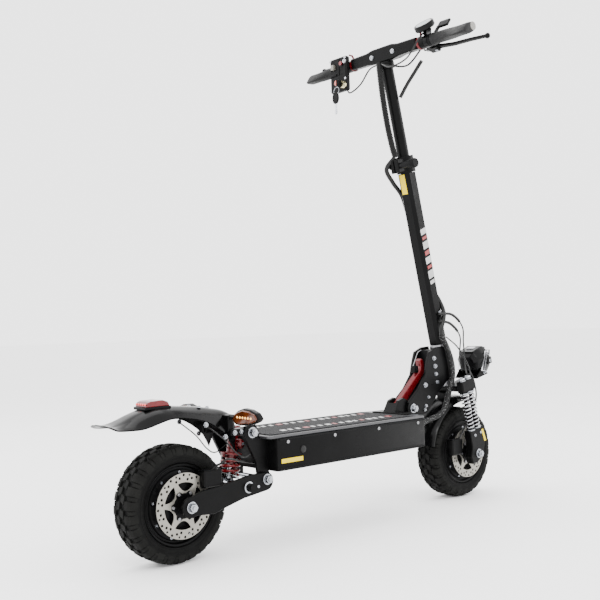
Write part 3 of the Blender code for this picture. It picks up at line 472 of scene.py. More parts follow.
# --- wheels -----------------------------------------------------------------------------------------
def tyre(end, axle):
    """Carcass, sidewall ribs, and blocks: two staggered middle rows and lugs over both shoulders."""
    carcass = WHEEL_RADIUS - 0.0048
    section = [(0.0842, 0.0285), (0.0885, 0.03), (0.0905, 0.0352), (0.096, 0.0368), (0.103, 0.0377),
               (0.11, 0.0374), (0.116, 0.0352), (0.1205, 0.03), (carcass, 0.02), (carcass + 0.0008, 0.0)]
    mirror = [(r, -y) for r, y in section[:-1]]
    inner = [(0.0842, -0.0225), (0.105, -0.03), (0.116, -0.024), (0.116, 0.024), (0.105, 0.03),
             (0.0842, 0.0225)]
    shape = bmesh.new()
    add_ring(shape, section + mirror[::-1] + inner, axle, (0, 1, 0), 96)
    piece(end + "_tyre_carcass", shape, TYRE, end + "_wheel", "tyre", 50, [end + "_tyre"])

    shape = bmesh.new()
    step = 2 * math.pi / TREAD_PITCHES

    def knob(turn, half, corners, skew=0.0):
        """A block between (across, low radius, high radius) lines, spread over an angle."""
        grid = []
        for side in (-1, 1):
            line = []
            for y, low, high in corners:
                for radius, share in ((low, 1.0), (high, 0.8)):
                    angle = turn + side * half * share + skew * y
                    line.append(shape.verts.new(axle + Vector((radius * math.cos(angle), y,
                                                               radius * math.sin(angle)))))
            grid.append(line)
        first, second = grid
        count = len(corners)
        for i in range(count - 1):
            a, b = 2 * i, 2 * i + 2
            shape.faces.new([first[a + 1], first[b + 1], second[b + 1], second[a + 1]])
            shape.faces.new([first[a], second[a], second[b], first[b]])
            shape.faces.new([first[a], first[b], first[b + 1], first[a + 1]])
            shape.faces.new([second[a], second[a + 1], second[b + 1], second[b]])
        for i in (0, count - 1):
            shape.faces.new([first[2 * i], first[2 * i + 1], second[2 * i + 1], second[2 * i]])

    top = WHEEL_RADIUS
    base = carcass - 0.0015
    for i in range(TREAD_PITCHES):
        turn = i * step
        for side in (-1, 1):
            centre = turn + (step / 2 if side > 0 else 0)
            knob(centre, step * 0.33, [(side * 0.0015, base, top - 0.0001),
                                       (side * 0.0135, base, top - 0.0003)],
                 side * 3.0)
            knob(centre + step / 2, step * 0.36,
                 [(side * 0.017, base, top - 0.0004), (side * 0.0265, 0.12, top - 0.0016),
                  (side * 0.0335, 0.115, 0.1225), (side * 0.0372, 0.109, 0.1165),
                  (side * 0.0379, 0.106, 0.107)])
            knob(centre, step * 0.16,
                 [(side * 0.027, 0.1195, 0.1245), (side * 0.034, 0.115, 0.1205),
                  (side * 0.0376, 0.109, 0.112)])
    piece(end + "_tyre_blocks", shape, TREAD, end + "_wheel", "tyre", 20)

    shape = bmesh.new()
    for side in (-1, 1):
        for radius, wide in ((0.0935, 0.0366), (0.1005, 0.0379)):
            add_ring(shape, [(radius - 0.0007, side * (wide - 0.0015)), (radius, side * wide),
                             (radius + 0.0007, side * (wide - 0.0015))], axle, (0, 1, 0), 96)
    piece(end + "_tyre_ribs", shape, TYRE, end + "_wheel", "tyre", 60)


def disc(end, axle):
    """A drilled brake disc with swept windows round a black centre."""
    curve = bpy.data.curves.new(end + "_disc_plate", "CURVE")
    curve.dimensions = "2D"
    curve.fill_mode = "BOTH"
    curve.extrude = 0.0009

    def loop(points):
        spline = curve.splines.new("POLY")
        spline.points.add(len(points) - 1)
        for point, (x, y) in zip(spline.points, points):
            point.co = (x, y, 0, 1)
        spline.use_cyclic_u = True

    radius = (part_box("rear_disc")[1][2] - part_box("rear_disc")[0][2]) / 2
    loop(arc((0, 0), radius, 0, 360, 96)[:-1])
    loop(arc((0, 0), 0.027, 0, 360, 48)[:-1])
    for i in range(36):
        distance = (0.0655, 0.06, 0.056)[i % 3]
        angle = math.radians(10 * i)
        hole = (distance * math.cos(angle), distance * math.sin(angle))
        loop(arc(hole, 0.003, 0, 360, 12)[:-1])
    for i in range(12):
        angle = math.radians(30 * i + 17)
        hole = (0.0655 * math.cos(angle), 0.0655 * math.sin(angle))
        loop(arc(hole, 0.0024, 0, 360, 12)[:-1])
    for i in range(DISC_WINDOWS):
        turn = 360 / DISC_WINDOWS * i
        outer = arc((0, 0), 0.05, turn, turn + 48, 8)
        tip = Vector(outer[0])
        end_point = Vector(outer[-1])
        belly = (tip + end_point) / 2 * 0.36
        inner = []
        for s in range(1, 8):
            t = s / 8
            inner.append(tuple(end_point * (1 - t) ** 2 + belly * 2 * t * (1 - t) + tip * t ** 2))
        loop(outer + inner)
    holder = bpy.data.objects.new("disc_curve", curve)
    bpy.context.scene.collection.objects.link(holder)
    bpy.context.view_layer.update()
    mesh = bpy.data.meshes.new_from_object(holder.evaluated_get(bpy.context.evaluated_depsgraph_get()))
    bpy.data.objects.remove(holder, do_unlink=True)
    shape = bmesh.new()
    shape.from_mesh(mesh)
    bmesh.ops.remove_doubles(shape, verts=shape.verts, dist=1e-6)
    place = Matrix.Translation((axle.x, DISC_Y, axle.z)) @ Matrix.Rotation(math.radians(90), 4, "X")
    bmesh.ops.transform(shape, matrix=place, verts=shape.verts)
    piece(end + "_disc_plate", shape, DISC, end + "_wheel", "disc_steel", 30, [end + "_disc"])

    shape = bmesh.new()
    star = []
    for i in range(6):
        star += arc((0, 0), 0.033, 60 * i - 9, 60 * i + 9, 3) + arc((0, 0), 0.0265, 60 * i + 20,
                                                                    60 * i + 40, 3)
    star = [(axle.x + x, axle.z + z) for x, z in star]
    add_prism(shape, star, DISC_Y - 0.0022, DISC_Y + 0.0012)
    softened(piece(end + "_disc_carrier", shape, BLACK, end + "_wheel", "black_frame"), 0.0005)
    shape = bmesh.new()
    for i in range(6):
        x, z = arc((axle.x, axle.z), 0.0295, 60 * i, 60 * i + 1, 1)[0]
        bolt_head(shape, (x, DISC_Y - 0.0022, z), (0, -1, 0), 0.0034, 0.0022, 0, True)
    piece(end + "_disc_bolts", shape, STEEL, end + "_wheel", "zinc")


def hub(end, axle):
    """Motor drum with rim lips, cooling ribs, cover bolts and a valve."""
    shape = bmesh.new()
    side = [(0.007, 0.046), (0.024, 0.046), (0.0265, 0.0445), (0.031, 0.04), (0.056, 0.0372), (0.06, 0.034),
            (0.074, 0.0318), (0.0765, 0.028), (0.08, 0.0275), (0.083, 0.033), (0.0868, 0.0336),
            (0.088, 0.0325), (0.088, 0.0298), (0.0836, 0.029)]
    disc_side = [(r, -y) for r, y in side[3:]]
    nose = [(0.028, -0.048), (0.0195, -0.0483), (0.0185, -0.0535), (0.007, -0.0538)]
    add_ring(shape, side + disc_side[::-1] + nose, axle, (0, 1, 0), 72)
    piece(end + "_hub_drum", shape, BLACK, end + "_wheel", "black_frame", 25, [end + "_hub"])
    shape = bmesh.new()
    for sign in (-1, 1):
        for i in range(9):
            x, z = arc((axle.x, axle.z), 0.0698, 40 * i + 10, 40 * i + 11, 1)[0]
            bolt_head(shape, (x, sign * 0.0318, z), (0, sign, 0), 0.0036, 0.003, 0, True)
    piece(end + "_hub_bolts", shape, ZINC, end + "_wheel", "zinc")
    shape = bmesh.new()
    for sign in (-1, 1):
        for radius in (0.042, 0.048, 0.054):
            y = sign * 0.0386
            add_ring(shape, [(radius - 0.0008, y - sign * 0.002), (radius, y + sign * 0.0008),
                             (radius + 0.0008, y - sign * 0.002)], axle, (0, 1, 0), 72)
    piece(end + "_hub_ribs", shape, BLACK, end + "_wheel", "black_frame", 60)
    foot = Vector((axle.x + 0.06, 0.03, axle.z + 0.052))
    shape = bmesh.new()
    add_tube(shape, [foot, foot + Vector((-0.004, 0.006, -0.004)), foot + Vector((-0.01, 0.011, -0.009))],
             [0.003, 0.0026, 0.0026], 12)
    piece(end + "_valve", shape, SLEEVE, end + "_wheel", "rubber")


def cross_bolt(name, node, body):
    """Both ends and the shank of a cross bolt, in place of its plain solid."""
    low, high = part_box(node)
    centre = middle(node)
    grip = (high[1] - low[1]) / 2 - 0.0138 + 0.0003
    shape = bmesh.new()
    for side in (-1, 1):
        bolt_head(shape, (centre.x, side * grip, centre.z), (0, side, 0), 0.0098, 0.0085, 0.0125)
    add_lathe(shape, [(0, -grip), (0.0059, -grip), (0.0059, grip), (0, grip)], (centre.x, 0, centre.z),
              (0, 1, 0), 20)
    piece(name, shape, ZINC, body, "zinc", 30, [node])


def wheels():
    for end, axle in (("rear", REAR_AXLE), ("front", FRONT_AXLE)):
        tyre(end, axle)
        disc(end, axle)
        hub(end, axle)
    cross_bolt("rear_axle_hardware", "rear_axle", "swingarm")
    cross_bolt("front_axle_hardware", "front_axle", "fork_lower")
    cross_bolt("shock_top_hardware", "shock_top_bolt", "chassis")
    cross_bolt("swing_pivot_hardware", "swingarm_pivot_bolt", "chassis")
    cross_bolt("fold_pivot_hardware", "fold_pivot_bolt", "chassis")


# --- rear end ---------------------------------------------------------------------------------------
def rear_end():
    fender = bmesh.new()
    stations = [
        (0.138, 0.232, 0.158, 0.306), (0.126, 0.254, 0.134, 0.317), (0.113, 0.27, 0.108, 0.323),
        (0.085, 0.29, 0.07, 0.33), (0.05, 0.305, 0.026, 0.335), (0.0, 0.314, -0.01, 0.338),
        (-0.03, 0.314, -0.05, 0.339), (-0.085, 0.301, -0.09, 0.329), (-0.12, 0.3, -0.125, 0.316),
        (-0.15, 0.302, -0.15, 0.309), (-0.162, 0.306, -0.1665, 0.311),
    ]
    edges = smooth_path([(s[0], 0, s[1]) for s in stations], 4)
    ridges = smooth_path([(s[2], 0, s[3]) for s in stations], 4)
    columns = 20
    layers = []
    for drop in (0.0, 0.0028):
        rows = []
        for edge, ridge in zip(edges, ridges):
            row = []
            for i in range(columns + 1):
                y = -1 + 2 * i / columns
                share = 1 - abs(y) ** 3.0
                point = edge.lerp(ridge, share)
                crease = 0.0012 * math.exp(-((abs(y) - 0.55) / 0.06) ** 2)
                row.append(fender.verts.new(rear(point.x - 0.4 * drop, y * (0.05 - drop),
                                                           point.z - drop - crease)))
            rows.append(row)
        layers.append(rows)
    add_shell(fender, *layers)
    piece("rear_fender_skin", fender, GLOSS, "chassis", "black_plastic", 40, ["rear_fender"])

    for name, side in (("left", 1), ("right", -1)):
        low, high = sorted((side * 0.036, side * 0.0597))
        block("fender_boss_" + name, (0.122, low, 0.262), (0.162, high, 0.277), BLACK, "chassis", REAR,
              0.002,
              slot="black_plastic")
        low, high = sorted((side * 0.026, side * 0.052))
        block("signal_boss_" + name, (0.12, low, 0.272), (0.134, high, 0.3085), BLACK, "chassis", REAR,
              0.002,
              slot="black_plastic")
        turn_signal(name, side)

    stay = bmesh.new()
    for side in (-1, 1):
        path = [(0.06, side * 0.0515, 0.292), (0.105, side * 0.053, 0.258), (0.135, side * 0.056, 0.226),
                (0.16, side * 0.0585, 0.212), (0.188, side * 0.0592, 0.222), (0.204, side * 0.0592, 0.236)]
        add_tube(stay, [REAR @ p for p in smooth_path(path, 5)], 0.0016, 8)
    piece("fender_stays", stay, CABLE, "chassis", "zinc")
    screws = bmesh.new()
    for side in (-1, 1):
        for x, y, z in ((0.131, 0.06, 0.2695), (0.15, 0.06, 0.2695), (0.06, 0.0512, 0.2935),
                        (0.112, 0.0505, 0.262)):
            bolt_head(screws, rear(x, side * y, z), (0, side, 0), 0.0042, 0.0028, 0.0058, True)
    for x, y, z in ((0.1005, 0.0, 0.3245), (0.065, 0.02, 0.329), (0.065, -0.02, 0.329)):
        bolt_head(screws, rear(x, y, z), (0.05, 0, 1), 0.0035, 0.0022, 0.005, True)
    piece("fender_screws", screws, ZINC, "chassis", "zinc")

    lens = bmesh.new()
    outline = [(-0.071, 0.34), (-0.067, 0.349), (-0.06, 0.352), (-0.03, 0.3532), (-0.017, 0.349),
               (-0.012, 0.34)]
    add_prism(lens, outline, -0.0235, 0.0235, REAR)
    softened(piece("brake_lens", lens, RED_LENS, "chassis", "red_lens", 30, ["brake_light"]), 0.0022, 3)
    block("brake_light_base", (-0.074, -0.0245, 0.334), (-0.01, 0.0245, 0.3402), BLACK, "chassis", REAR,
          0.0015,
          slot="black_plastic")
    glow = bmesh.new()
    for i in range(5):
        y = (i - 2) * 0.0085
        add_lathe(glow, [(0, 0), (0.0024, 0), (0.0024, 0.0012), (0, 0.0018)],
                  rear(-0.07, y, 0.3455), (-1, 0, 0.35), 12)
    piece("brake_leds", glow, lamp("red_led", (0.9, 0.05, 0.04), 0.6), "chassis", "red_lens")

    pins = bmesh.new()
    eye = rear(0.153, 0, 0.148)
    for side in (-1, 1):
        bolt_head(pins, (eye.x, side * 0.0786, eye.z), (0, side, 0), 0.0099, 0.0066, 0.0128)
        bolt_head(pins, rear(0.18, side * 0.0785, 0.146), (0, side, 0), 0.0032, 0.0012, 0, True)
    piece("arm_hardware", pins, ZINC, "swingarm", "zinc")
    shock(eye)


def turn_signal(name, side):
    """A smoked arrow lamp on a rubber stalk, with a row of amber lights facing back."""
    outline = [(0.064, 0.2985), (0.076, 0.29), (0.09, 0.288), (0.128, 0.291), (0.152, 0.299),
               (0.1597, 0.306), (0.15, 0.3175), (0.128, 0.3245), (0.105, 0.3265), (0.086, 0.321),
               (0.07, 0.3115)]
    points = [(side * y, z) for y, z in outline]
    shape = bmesh.new()
    add_prism(shape, points, 0.1215, 0.1364, REAR, "X")
    softened(piece("signal_case_" + name, shape, BLACK, "chassis", "black_plastic", 30,
                   ["signal_" + name]), 0.0025, 3)
    shape = bmesh.new()
    centre = (0.112, 0.3065)
    inset = [(side * (centre[0] + (y - centre[0]) * 0.9), centre[1] + (z - centre[1]) * 0.82) for y,
             z in outline]
    add_prism(shape, inset, 0.118, 0.123, REAR, "X")
    softened(piece("signal_lens_" + name, shape, AMBER, "chassis", "amber_lens"), 0.0022, 3)
    shape = bmesh.new()
    for i in range(6):
        y = 0.088 + 0.0095 * i
        z = 0.307 - 0.00015 * i
        add_lathe(shape, [(0, 0), (0.0026, 0), (0.0021, 0.0011), (0, 0.0015)], rear(0.1181, side * y, z),
                  (-1, 0, 0), 14)
    piece("signal_leds_" + name, shape, LED, "chassis", "amber_lens")
    shape = bmesh.new()
    path = [rear(0.128, side * y, 0.3045) for y in (0.05, 0.053, 0.056, 0.059, 0.062, 0.065, 0.068)]
    add_tube(shape, path, [0.0062, 0.0048, 0.0062, 0.0048, 0.0062, 0.0048, 0.0062], 14)
    piece("signal_stalk_" + name, shape, SLEEVE, "chassis", "black_plastic", 60)


def shock(lower):
    """Coil, its collars and the remote chamber's valve."""
    upper = rear(0.175, 0, 0.266)
    down = (lower - upper).normalized()
    reach = (lower - upper).length
    start, end = upper + down * 0.0585, upper + down * (reach - 0.0205)
    shape = bmesh.new()
    add_tube(shape, helix(start, end, 0.021, 3.6, 24), 0.0033, 12)
    coil = piece("rear_coil", shape, RED_COIL, "shock_body", "red_paint", 60, ["rear_spring"])
    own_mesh(coil)
    shape = bmesh.new()
    add_ring(shape, [(0.0125, 0.0492), (0.0215, 0.0492), (0.0245, 0.051), (0.0245, 0.0552),
                     (0.0125, 0.0552)],
             upper, down, 40)
    for k in range(4):
        add_ring(shape, [(0.0121, 0.018 + 0.007 * k), (0.014, 0.0195 + 0.007 * k),
                         (0.0121, 0.021 + 0.007 * k)],
                 upper, down, 32)
    piece("shock_collars", shape, RED, "shock_body", "red_paint", 40)
    shape = bmesh.new()
    bolt_head(shape, rear(0.1905, -0.0115, 0.234), (0, -1, 0), 0.0035, 0.0018, 0, True)
    piece("reservoir_valve", shape, ZINC, "shock_body", "zinc")


# --- deck and neck ----------------------------------------------------------------------------------
def deck():
    low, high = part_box("deck_lid")
    x0, x1, half = low[0] + 0.014, high[0] - 0.046, high[1] - 0.011
    corners = []
    for (cx, cy), turn in (((x1 - 0.01, half - 0.01), 0), ((x0 + 0.01, half - 0.01), 90),
                           ((x0 + 0.01, -half + 0.01), 180), ((x1 - 0.01, -half + 0.01), 270)):
        corners += arc((cx, cy), 0.01, turn, turn + 90, 6)
    slab("deck_mat", corners, LID_TOP + 0.0001, LID_TOP + 0.0022, MAT, "chassis", None, "Z", 0.0006,
         slot="rubber")
    white, red = bmesh.new(), bmesh.new()
    z0, z1 = LID_TOP + 0.002, LID_TOP + 0.0025
    lane = -half + 0.03
    for i in range(16):
        x = x0 + 0.06 + i * 0.024
        width = 0.01 if i % 3 else 0.015
        lean = 0.006
        target = red if i % 4 == 3 else white
        for side in (-1, 1):
            y0, y1 = side * lane, side * (lane + 0.02)
            quad = [(x, min(y0, y1)), (x + width, min(y0, y1)), (x + width + lean, max(y0, y1)),
                    (x + lean, max(y0, y1))]
            add_prism(target, quad, z0, z1, None, "Z")
    piece("mat_print_white", white, PRINT_WHITE, "chassis", "rubber")
    piece("mat_print_red", red, PRINT_RED, "chassis", "rubber")

    side_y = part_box("deck_tub")[1][1]
    screws = bmesh.new()
    for side in (-1, 1):
        for x in (0.252, 0.4, 0.552, 0.7):
            add_lathe(screws, [(0, 0), (0.0042, 0), (0.0038, 0.0012), (0.0018, 0.0014), (0.0016, 0.0004),
                               (0, 0.0004)],
                      rear(x, side * side_y, 0.24), (0, side, 0), 16)
    piece("deck_side_screws", screws, STEEL, "chassis", "zinc")
    for name, side in (("left", 1), ("right", -1)):
        low_y, high_y = sorted((side * side_y, side * (side_y + 0.0012)))
        block("deck_reflector_" + name, (0.231, low_y, 0.1925), (0.296, high_y, 0.2025), REFLECT,
              "chassis", REAR, 0.0004)
    cap = bmesh.new()
    add_lathe(cap, [(0, 0), (0.0085, 0), (0.008, 0.0022), (0.0045, 0.003), (0, 0.0026)],
              rear(0.297, -side_y, 0.218), (0, -1, 0), 24)
    piece("charge_port_cap", cap, SLEEVE, "chassis", "rubber")
    lips = bmesh.new()
    for side in (-1, 1):
        y0, y1 = sorted((side * side_y, side * (side_y + 0.0016)))
        add_box(lips, (0.226, y0, 0.2445), (0.724, y1, 0.2495), REAR)
        add_box(lips, (0.226, y0, 0.1765), (0.724, y1, 0.181), REAR)
    softened(piece("deck_side_ribs", lips, BLACK, "chassis", "black_frame"), 0.0006)
    feet = bmesh.new()
    for side in (-1, 1):
        for x in (0.255, 0.69):
            add_lathe(feet, [(0, 0), (0.009, 0), (0.008, 0.003), (0, 0.003)],
                      rear(x, side * 0.075, 0.175), (0, 0, -1), 24)
    piece("deck_under_feet", feet, SLEEVE, "chassis", "rubber")
    panel = bmesh.new()
    for side in (-1, 1):
        for x in (0.3, 0.47, 0.64):
            bolt_head(panel, rear(x, side * 0.088, 0.175), (0, 0, -1), 0.0035, 0.0018, 0, True)
    piece("deck_under_screws", panel, STEEL, "chassis", "zinc")


def neck():
    """Plate bolts, latch catch and hinge hardware."""
    bolts = bmesh.new()
    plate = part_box("head_plate_left")[1][1]
    places = [(0.856, 0.4, 0.0048), (0.86, 0.378, 0.0048), (0.862, 0.356, 0.0042), (0.867, 0.333, 0.0042),
              (0.816, 0.328, 0.0052), (0.827, 0.294, 0.0032), (0.815, 0.271, 0.0036),
              (0.81, 0.2605, 0.0032)]
    for side in (-1, 1):
        for x, z, size in places:
            bolt_head(bolts, rear(x, side * plate, z), (0, side, 0), size, 0.003, size * 1.35, True)
    piece("plate_bolts", bolts, ZINC, "head", "zinc")
    catch = bmesh.new()
    add_box(catch, (0.799, -0.008, 0.362), (0.815, 0.008, 0.381), REAR)
    add_box(catch, (0.803, -0.011, 0.368), (0.809, 0.011, 0.376), REAR)
    softened(piece("lever_catch", catch, BLACK, "fold_lever", "black_frame"), 0.0015)
    wire = [(0.809, 0.006, 0.38), (0.818, 0.005, 0.398), (0.828, 0.004, 0.4165), (0.84, 0.002, 0.423)]
    tube("catch_wire", [REAR @ Vector(p) for p in wire], 0.001, STEEL, "fold_lever", 8, slot="zinc")
    groove = bmesh.new()
    for side in (-1, 1):
        y0, y1 = sorted((side * 0.0088, side * 0.0098))
        outline = [(0.756, 0.2865), (0.829, 0.3635), (0.833, 0.3735), (0.829, 0.388), (0.8265, 0.388),
                   (0.829, 0.374), (0.8255, 0.3655), (0.753, 0.2895)]
        add_prism(groove, outline, y0, y1, REAR)
    piece("lever_ribs", groove, RED, "fold_lever", "red_paint")


# --- stem and front ---------------------------------------------------------------------------------
def stem():
    half = 0.021
    back = bmesh.new()
    add_box(back, (-half - 0.0011, -0.0095, 0.887), (-half - 0.0001, 0.0095, 0.942), STEER)
    softened(piece("stem_reflector", back, REFLECT, "steerer"), 0.0003)
    white, red = bmesh.new(), bmesh.new()
    for side in (-1, 1):
        y0, y1 = sorted((side * (half + 0.0001), side * (half + 0.0006)))
        up = 0.625
        for i, (height, mark) in enumerate(((0.014, 0), (0.026, 0), (0.012, 1), (0.022, 0), (0.016, 1),
                                            (0.024, 0),
                                            (0.012, 1), (0.02, 0))):
            target = red if mark else white
            wide = 0.0115 if i % 2 else 0.0095
            quad = [(-wide, up), (wide, up + 0.004), (wide, up + height), (-wide, up + height - 0.004)]
            add_prism(target, quad, y0, y1, STEER)
            up += height + 0.0022
    piece("stem_blocks_white", white, PRINT_WHITE, "steerer")
    piece("stem_blocks_red", red, PRINT_RED, "steerer")
    bolts = bmesh.new()
    for up, side in ((0.541, -1), (0.541, 1), (0.455, -1), (0.455, 1)):
        bolt_head(bolts, steer(0.006, side * half, up), (0, side, 0), 0.004, 0.003, 0.0055, True)
    piece("stem_bolts", bolts, ZINC, "steerer", "zinc")
    cups = bmesh.new()
    add_ring(cups, [(0.016, 0.3305), (0.0262, 0.3305), (0.0275, 0.335), (0.0262, 0.347), (0.016, 0.347)],
             STEER_FOOT, UP, 48)
    add_ring(cups, [(0.0165, 0.444), (0.025, 0.444), (0.0235, 0.451), (0.0165, 0.451)], STEER_FOOT, UP, 48)
    piece("headset_cups", cups, STEEL, "steerer", "zinc", 30)


def ribbed_loom(name, route, radius, rib, body, material, slot=None, hides=(), matrix=None):
    """A corrugated sleeve along a smooth route."""
    line = smooth_path(route, 24)
    if matrix:
        line = [matrix @ p for p in line]
    length = sum((b - a).length for a, b in zip(line, line[1:]))
    count = int(length / rib) * 4
    even, walked, k = [line[0]], 0.0, 0
    for i in range(1, count + 1):
        target = length * i / count
        while k < len(line) - 2 and walked + (line[k + 1] - line[k]).length < target:
            walked += (line[k + 1] - line[k]).length
            k += 1
        span = (line[k + 1] - line[k]).length
        even.append(line[k].lerp(line[k + 1], min((target - walked) / span, 1)))
    swell = (1.0, 1.0, 0.84, 0.84)
    shape = bmesh.new()
    add_tube(shape, even, [radius * swell[i % 4] for i in range(len(even))], 16)
    return piece(name, shape, material, body, slot, 40, hides)


def looms():
    upper = [(-0.029, 0, 1.25), (-0.034, 0, 1.215), (-0.04, 0, 1.15), (-0.042, 0, 1.08),
             (-0.0385, 0, 1.02), (-0.034, 0, 0.993)]
    sleeve = ribbed_loom("upper_loom", upper, 0.009, 0.0042, "upper_stem", SLEEVE, "matte_plastic",
                         ["cable_loom"],
                         STEER)
    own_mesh(sleeve)
    lower = [(-0.034, 0.003, 0.993), (-0.05, 0.026, 0.965), (-0.026, 0.033, 0.925), (0.0, 0.031, 0.88),
             (0.01, 0.03, 0.8), (0.014, 0.0295, 0.7), (0.026, 0.018, 0.62), (0.029, -0.006, 0.575),
             (0.014, -0.029, 0.535), (-0.012, -0.033, 0.5), (-0.018, -0.032, 0.48)]
    shape = bmesh.new()
    add_tube(shape, [STEER @ p for p in smooth_path(lower, 8)], 0.0062, 14)
    piece("lower_loom", shape, CABLE, "steerer", "matte_plastic")
    bend = [(-0.018, -0.032, 0.48), (-0.01, -0.038, 0.44), (-0.005, -0.04, 0.4),
            (-0.01, -0.039, 0.36), (-0.04, -0.038, 0.315)]
    shape = bmesh.new()
    add_tube(shape, [STEER @ p for p in smooth_path(bend, 8)], 0.0078, 16)
    braid = piece("neck_loom", shape, BRAID, None, "matte_plastic")
    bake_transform(braid)
    start = steer(-0.04, -0.038, 0.315)
    tail = [start, start + Vector((-0.03, 0.0, -0.05)), rear(0.8, -0.036, 0.228),
            rear(0.768, -0.032, 0.212), rear(0.731, -0.03, 0.208)]
    shape = bmesh.new()
    add_tube(shape, smooth_path(tail, 8), 0.0078, 16)
    wrap = piece("deck_loom", shape, BRAID, None, "matte_plastic")
    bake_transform(wrap)
    cables = [
        [(-0.01, -0.03, 0.52), (0.03, -0.034, 0.5), (0.062, -0.032, 0.455), (0.06, -0.02, 0.4),
         (0.072, -0.008, 0.35)],
        [(-0.008, -0.028, 0.54), (0.04, -0.036, 0.525), (0.078, -0.034, 0.48), (0.082, -0.024, 0.43),
         (0.06, -0.034, 0.372), (0.04, -0.05, 0.35)],
        [(0.0, -0.034, 0.47), (0.034, -0.04, 0.43), (0.045, -0.056, 0.375), (0.03, -0.07, 0.349)],
    ]
    shape = bmesh.new()
    for route in cables:
        add_tube(shape, [STEER @ p for p in smooth_path(route, 8)], 0.0021, 8)
    piece("front_cables", shape, CABLE, "steerer", "matte_plastic")
    shape = bmesh.new()
    for route in cables[:2]:
        add_tube(shape, [STEER @ p for p in smooth_path(route, 8)[:14]], 0.004, 10)
    piece("front_cable_sleeves", shape, SLEEVE, "steerer", "matte_plastic")
    shape = bmesh.new()
    branch = [(0.006, -0.022, 1.15), (0.022, -0.04, 1.18), (0.038, -0.066, 1.212), (0.04, -0.09, 1.232)]
    add_tube(shape, [STEER @ p for p in smooth_path(branch, 8)], 0.005, 12)
    piece("bar_branch", shape, SLEEVE, "upper_stem", "matte_plastic")
    shape = bmesh.new()
    hose = [(0.045, -0.056, 0.362), (0.052, -0.062, 0.32), (0.04, -0.064, 0.27), (-0.02, -0.06, 0.215),
            (-0.055, -0.056, 0.185)]
    add_tube(shape, [STEER @ p for p in smooth_path(hose, 8)], 0.0022, 8)
    piece("front_brake_hose", shape, CABLE, "steerer", "matte_plastic")
    hose = [(0.222, -0.05, 0.2), (0.19, -0.052, 0.196), (0.15, -0.056, 0.204), (0.112, -0.06, 0.214),
            (0.085, -0.06, 0.205), (0.07, -0.056, 0.196)]
    shape = bmesh.new()
    add_tube(shape, [REAR @ p for p in smooth_path(hose, 8)], 0.0022, 8)
    motor = [(0.222, 0.05, 0.195), (0.19, 0.056, 0.185), (0.14, 0.063, 0.178), (0.08, 0.066, 0.168),
             (0.03, 0.066, 0.155), (0.006, 0.062, 0.138)]
    add_tube(shape, [REAR @ p for p in smooth_path(motor, 8)], 0.003, 10)
    piece("rear_cables", shape, CABLE, "chassis", "matte_plastic")


def fork():
    """Twin chromed coils on each side, crown nuts, leg reflectors and the mudguard."""
    middle_y = (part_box("fork_leg_left")[0][1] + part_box("fork_leg_left")[1][1]) / 2
    low, high = 0.208, 0.3105
    for name, side in (("left", 1), ("right", -1)):
        shape = bmesh.new()
        for x in (-0.021, 0.005):
            path = helix(steer(x, side * middle_y, low), steer(x, side * middle_y, high), 0.0101, 10, 16)
            add_tube(shape, path, 0.0019, 8)
        coils = piece("fork_coils_" + name, shape, CHROME, "steerer", "spring_chrome", 60,
                      ["front_spring_" + name])
        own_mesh(coils)
        shape = bmesh.new()
        for x in (-0.021, 0.005):
            foot = steer(x, side * middle_y, 0.3105)
            add_lathe(shape, [(0.0062, 0), (0.0124, 0), (0.0124, 0.003), (0.0062, 0.003)], foot, UP, 28)
            cap = steer(x, side * middle_y, 0.3476)
            bolt_head(shape, cap, UP, 0.0085, 0.006, 0.0105)
        piece("fork_top_caps_" + name, shape, ZINC, "steerer", "zinc")
        shape = bmesh.new()
        for x in (-0.021, 0.005):
            foot = steer(x, side * middle_y, 0.204)
            add_lathe(shape, [(0.006, 0), (0.0124, 0), (0.0124, 0.0035), (0.006, 0.0035)], foot, UP, 28)
            bolt_head(shape, steer(x, side * 0.0893, 0.19), (0, side, 0), 0.004, 0.0025, 0, True)
        piece("fork_seats_" + name, shape, ZINC, "fork_lower", "zinc")
        leg_low, leg_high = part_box("fork_leg_" + name)
        outer = max(abs(leg_low[1]), abs(leg_high[1]))
        shape = bmesh.new()
        strip = [(0.01, 0.196), (0.018, 0.196), (0.023, 0.16), (0.015, 0.16)]
        y0, y1 = sorted((side * outer, side * (outer + 0.0008)))
        add_prism(shape, strip, y0, y1, STEER)
        softened(piece("leg_reflector_" + name, shape, REFLECT, "fork_lower"), 0.0003)

    shape = bmesh.new()
    axle = (FRONT_AXLE.x, FRONT_AXLE.z)
    columns, steps = 14, 36
    layers = []
    for radius in (0.1612, 0.1586):
        rows = []
        for x, z in arc(axle, 1.0, 70, 168, steps):
            ray = Vector((x - axle[0], 0, z - axle[1]))
            row = []
            for i in range(columns + 1):
                y = -1 + 2 * i / columns
                drop = 0.012 * abs(y) ** 4
                crown = 0.001 * math.exp(-(y / 0.12) ** 2)
                centre = Vector((axle[0], y * 0.0488, axle[1]))
                lift = crown if radius > 0.16 else 0
                row.append(shape.verts.new(centre + ray * (radius - drop + lift)))
            rows.append(row)
        layers.append(rows)
    add_shell(shape, *layers)
    piece("front_mudguard", shape, GLOSS, "steerer", "black_plastic", 40, ["front_fender"])
    block("mudguard_hanger", (-0.03, -0.016, 0.294), (-0.004, 0.016, 0.3135), BLACK, "steerer", STEER,
          0.0015,
          slot="black_frame")


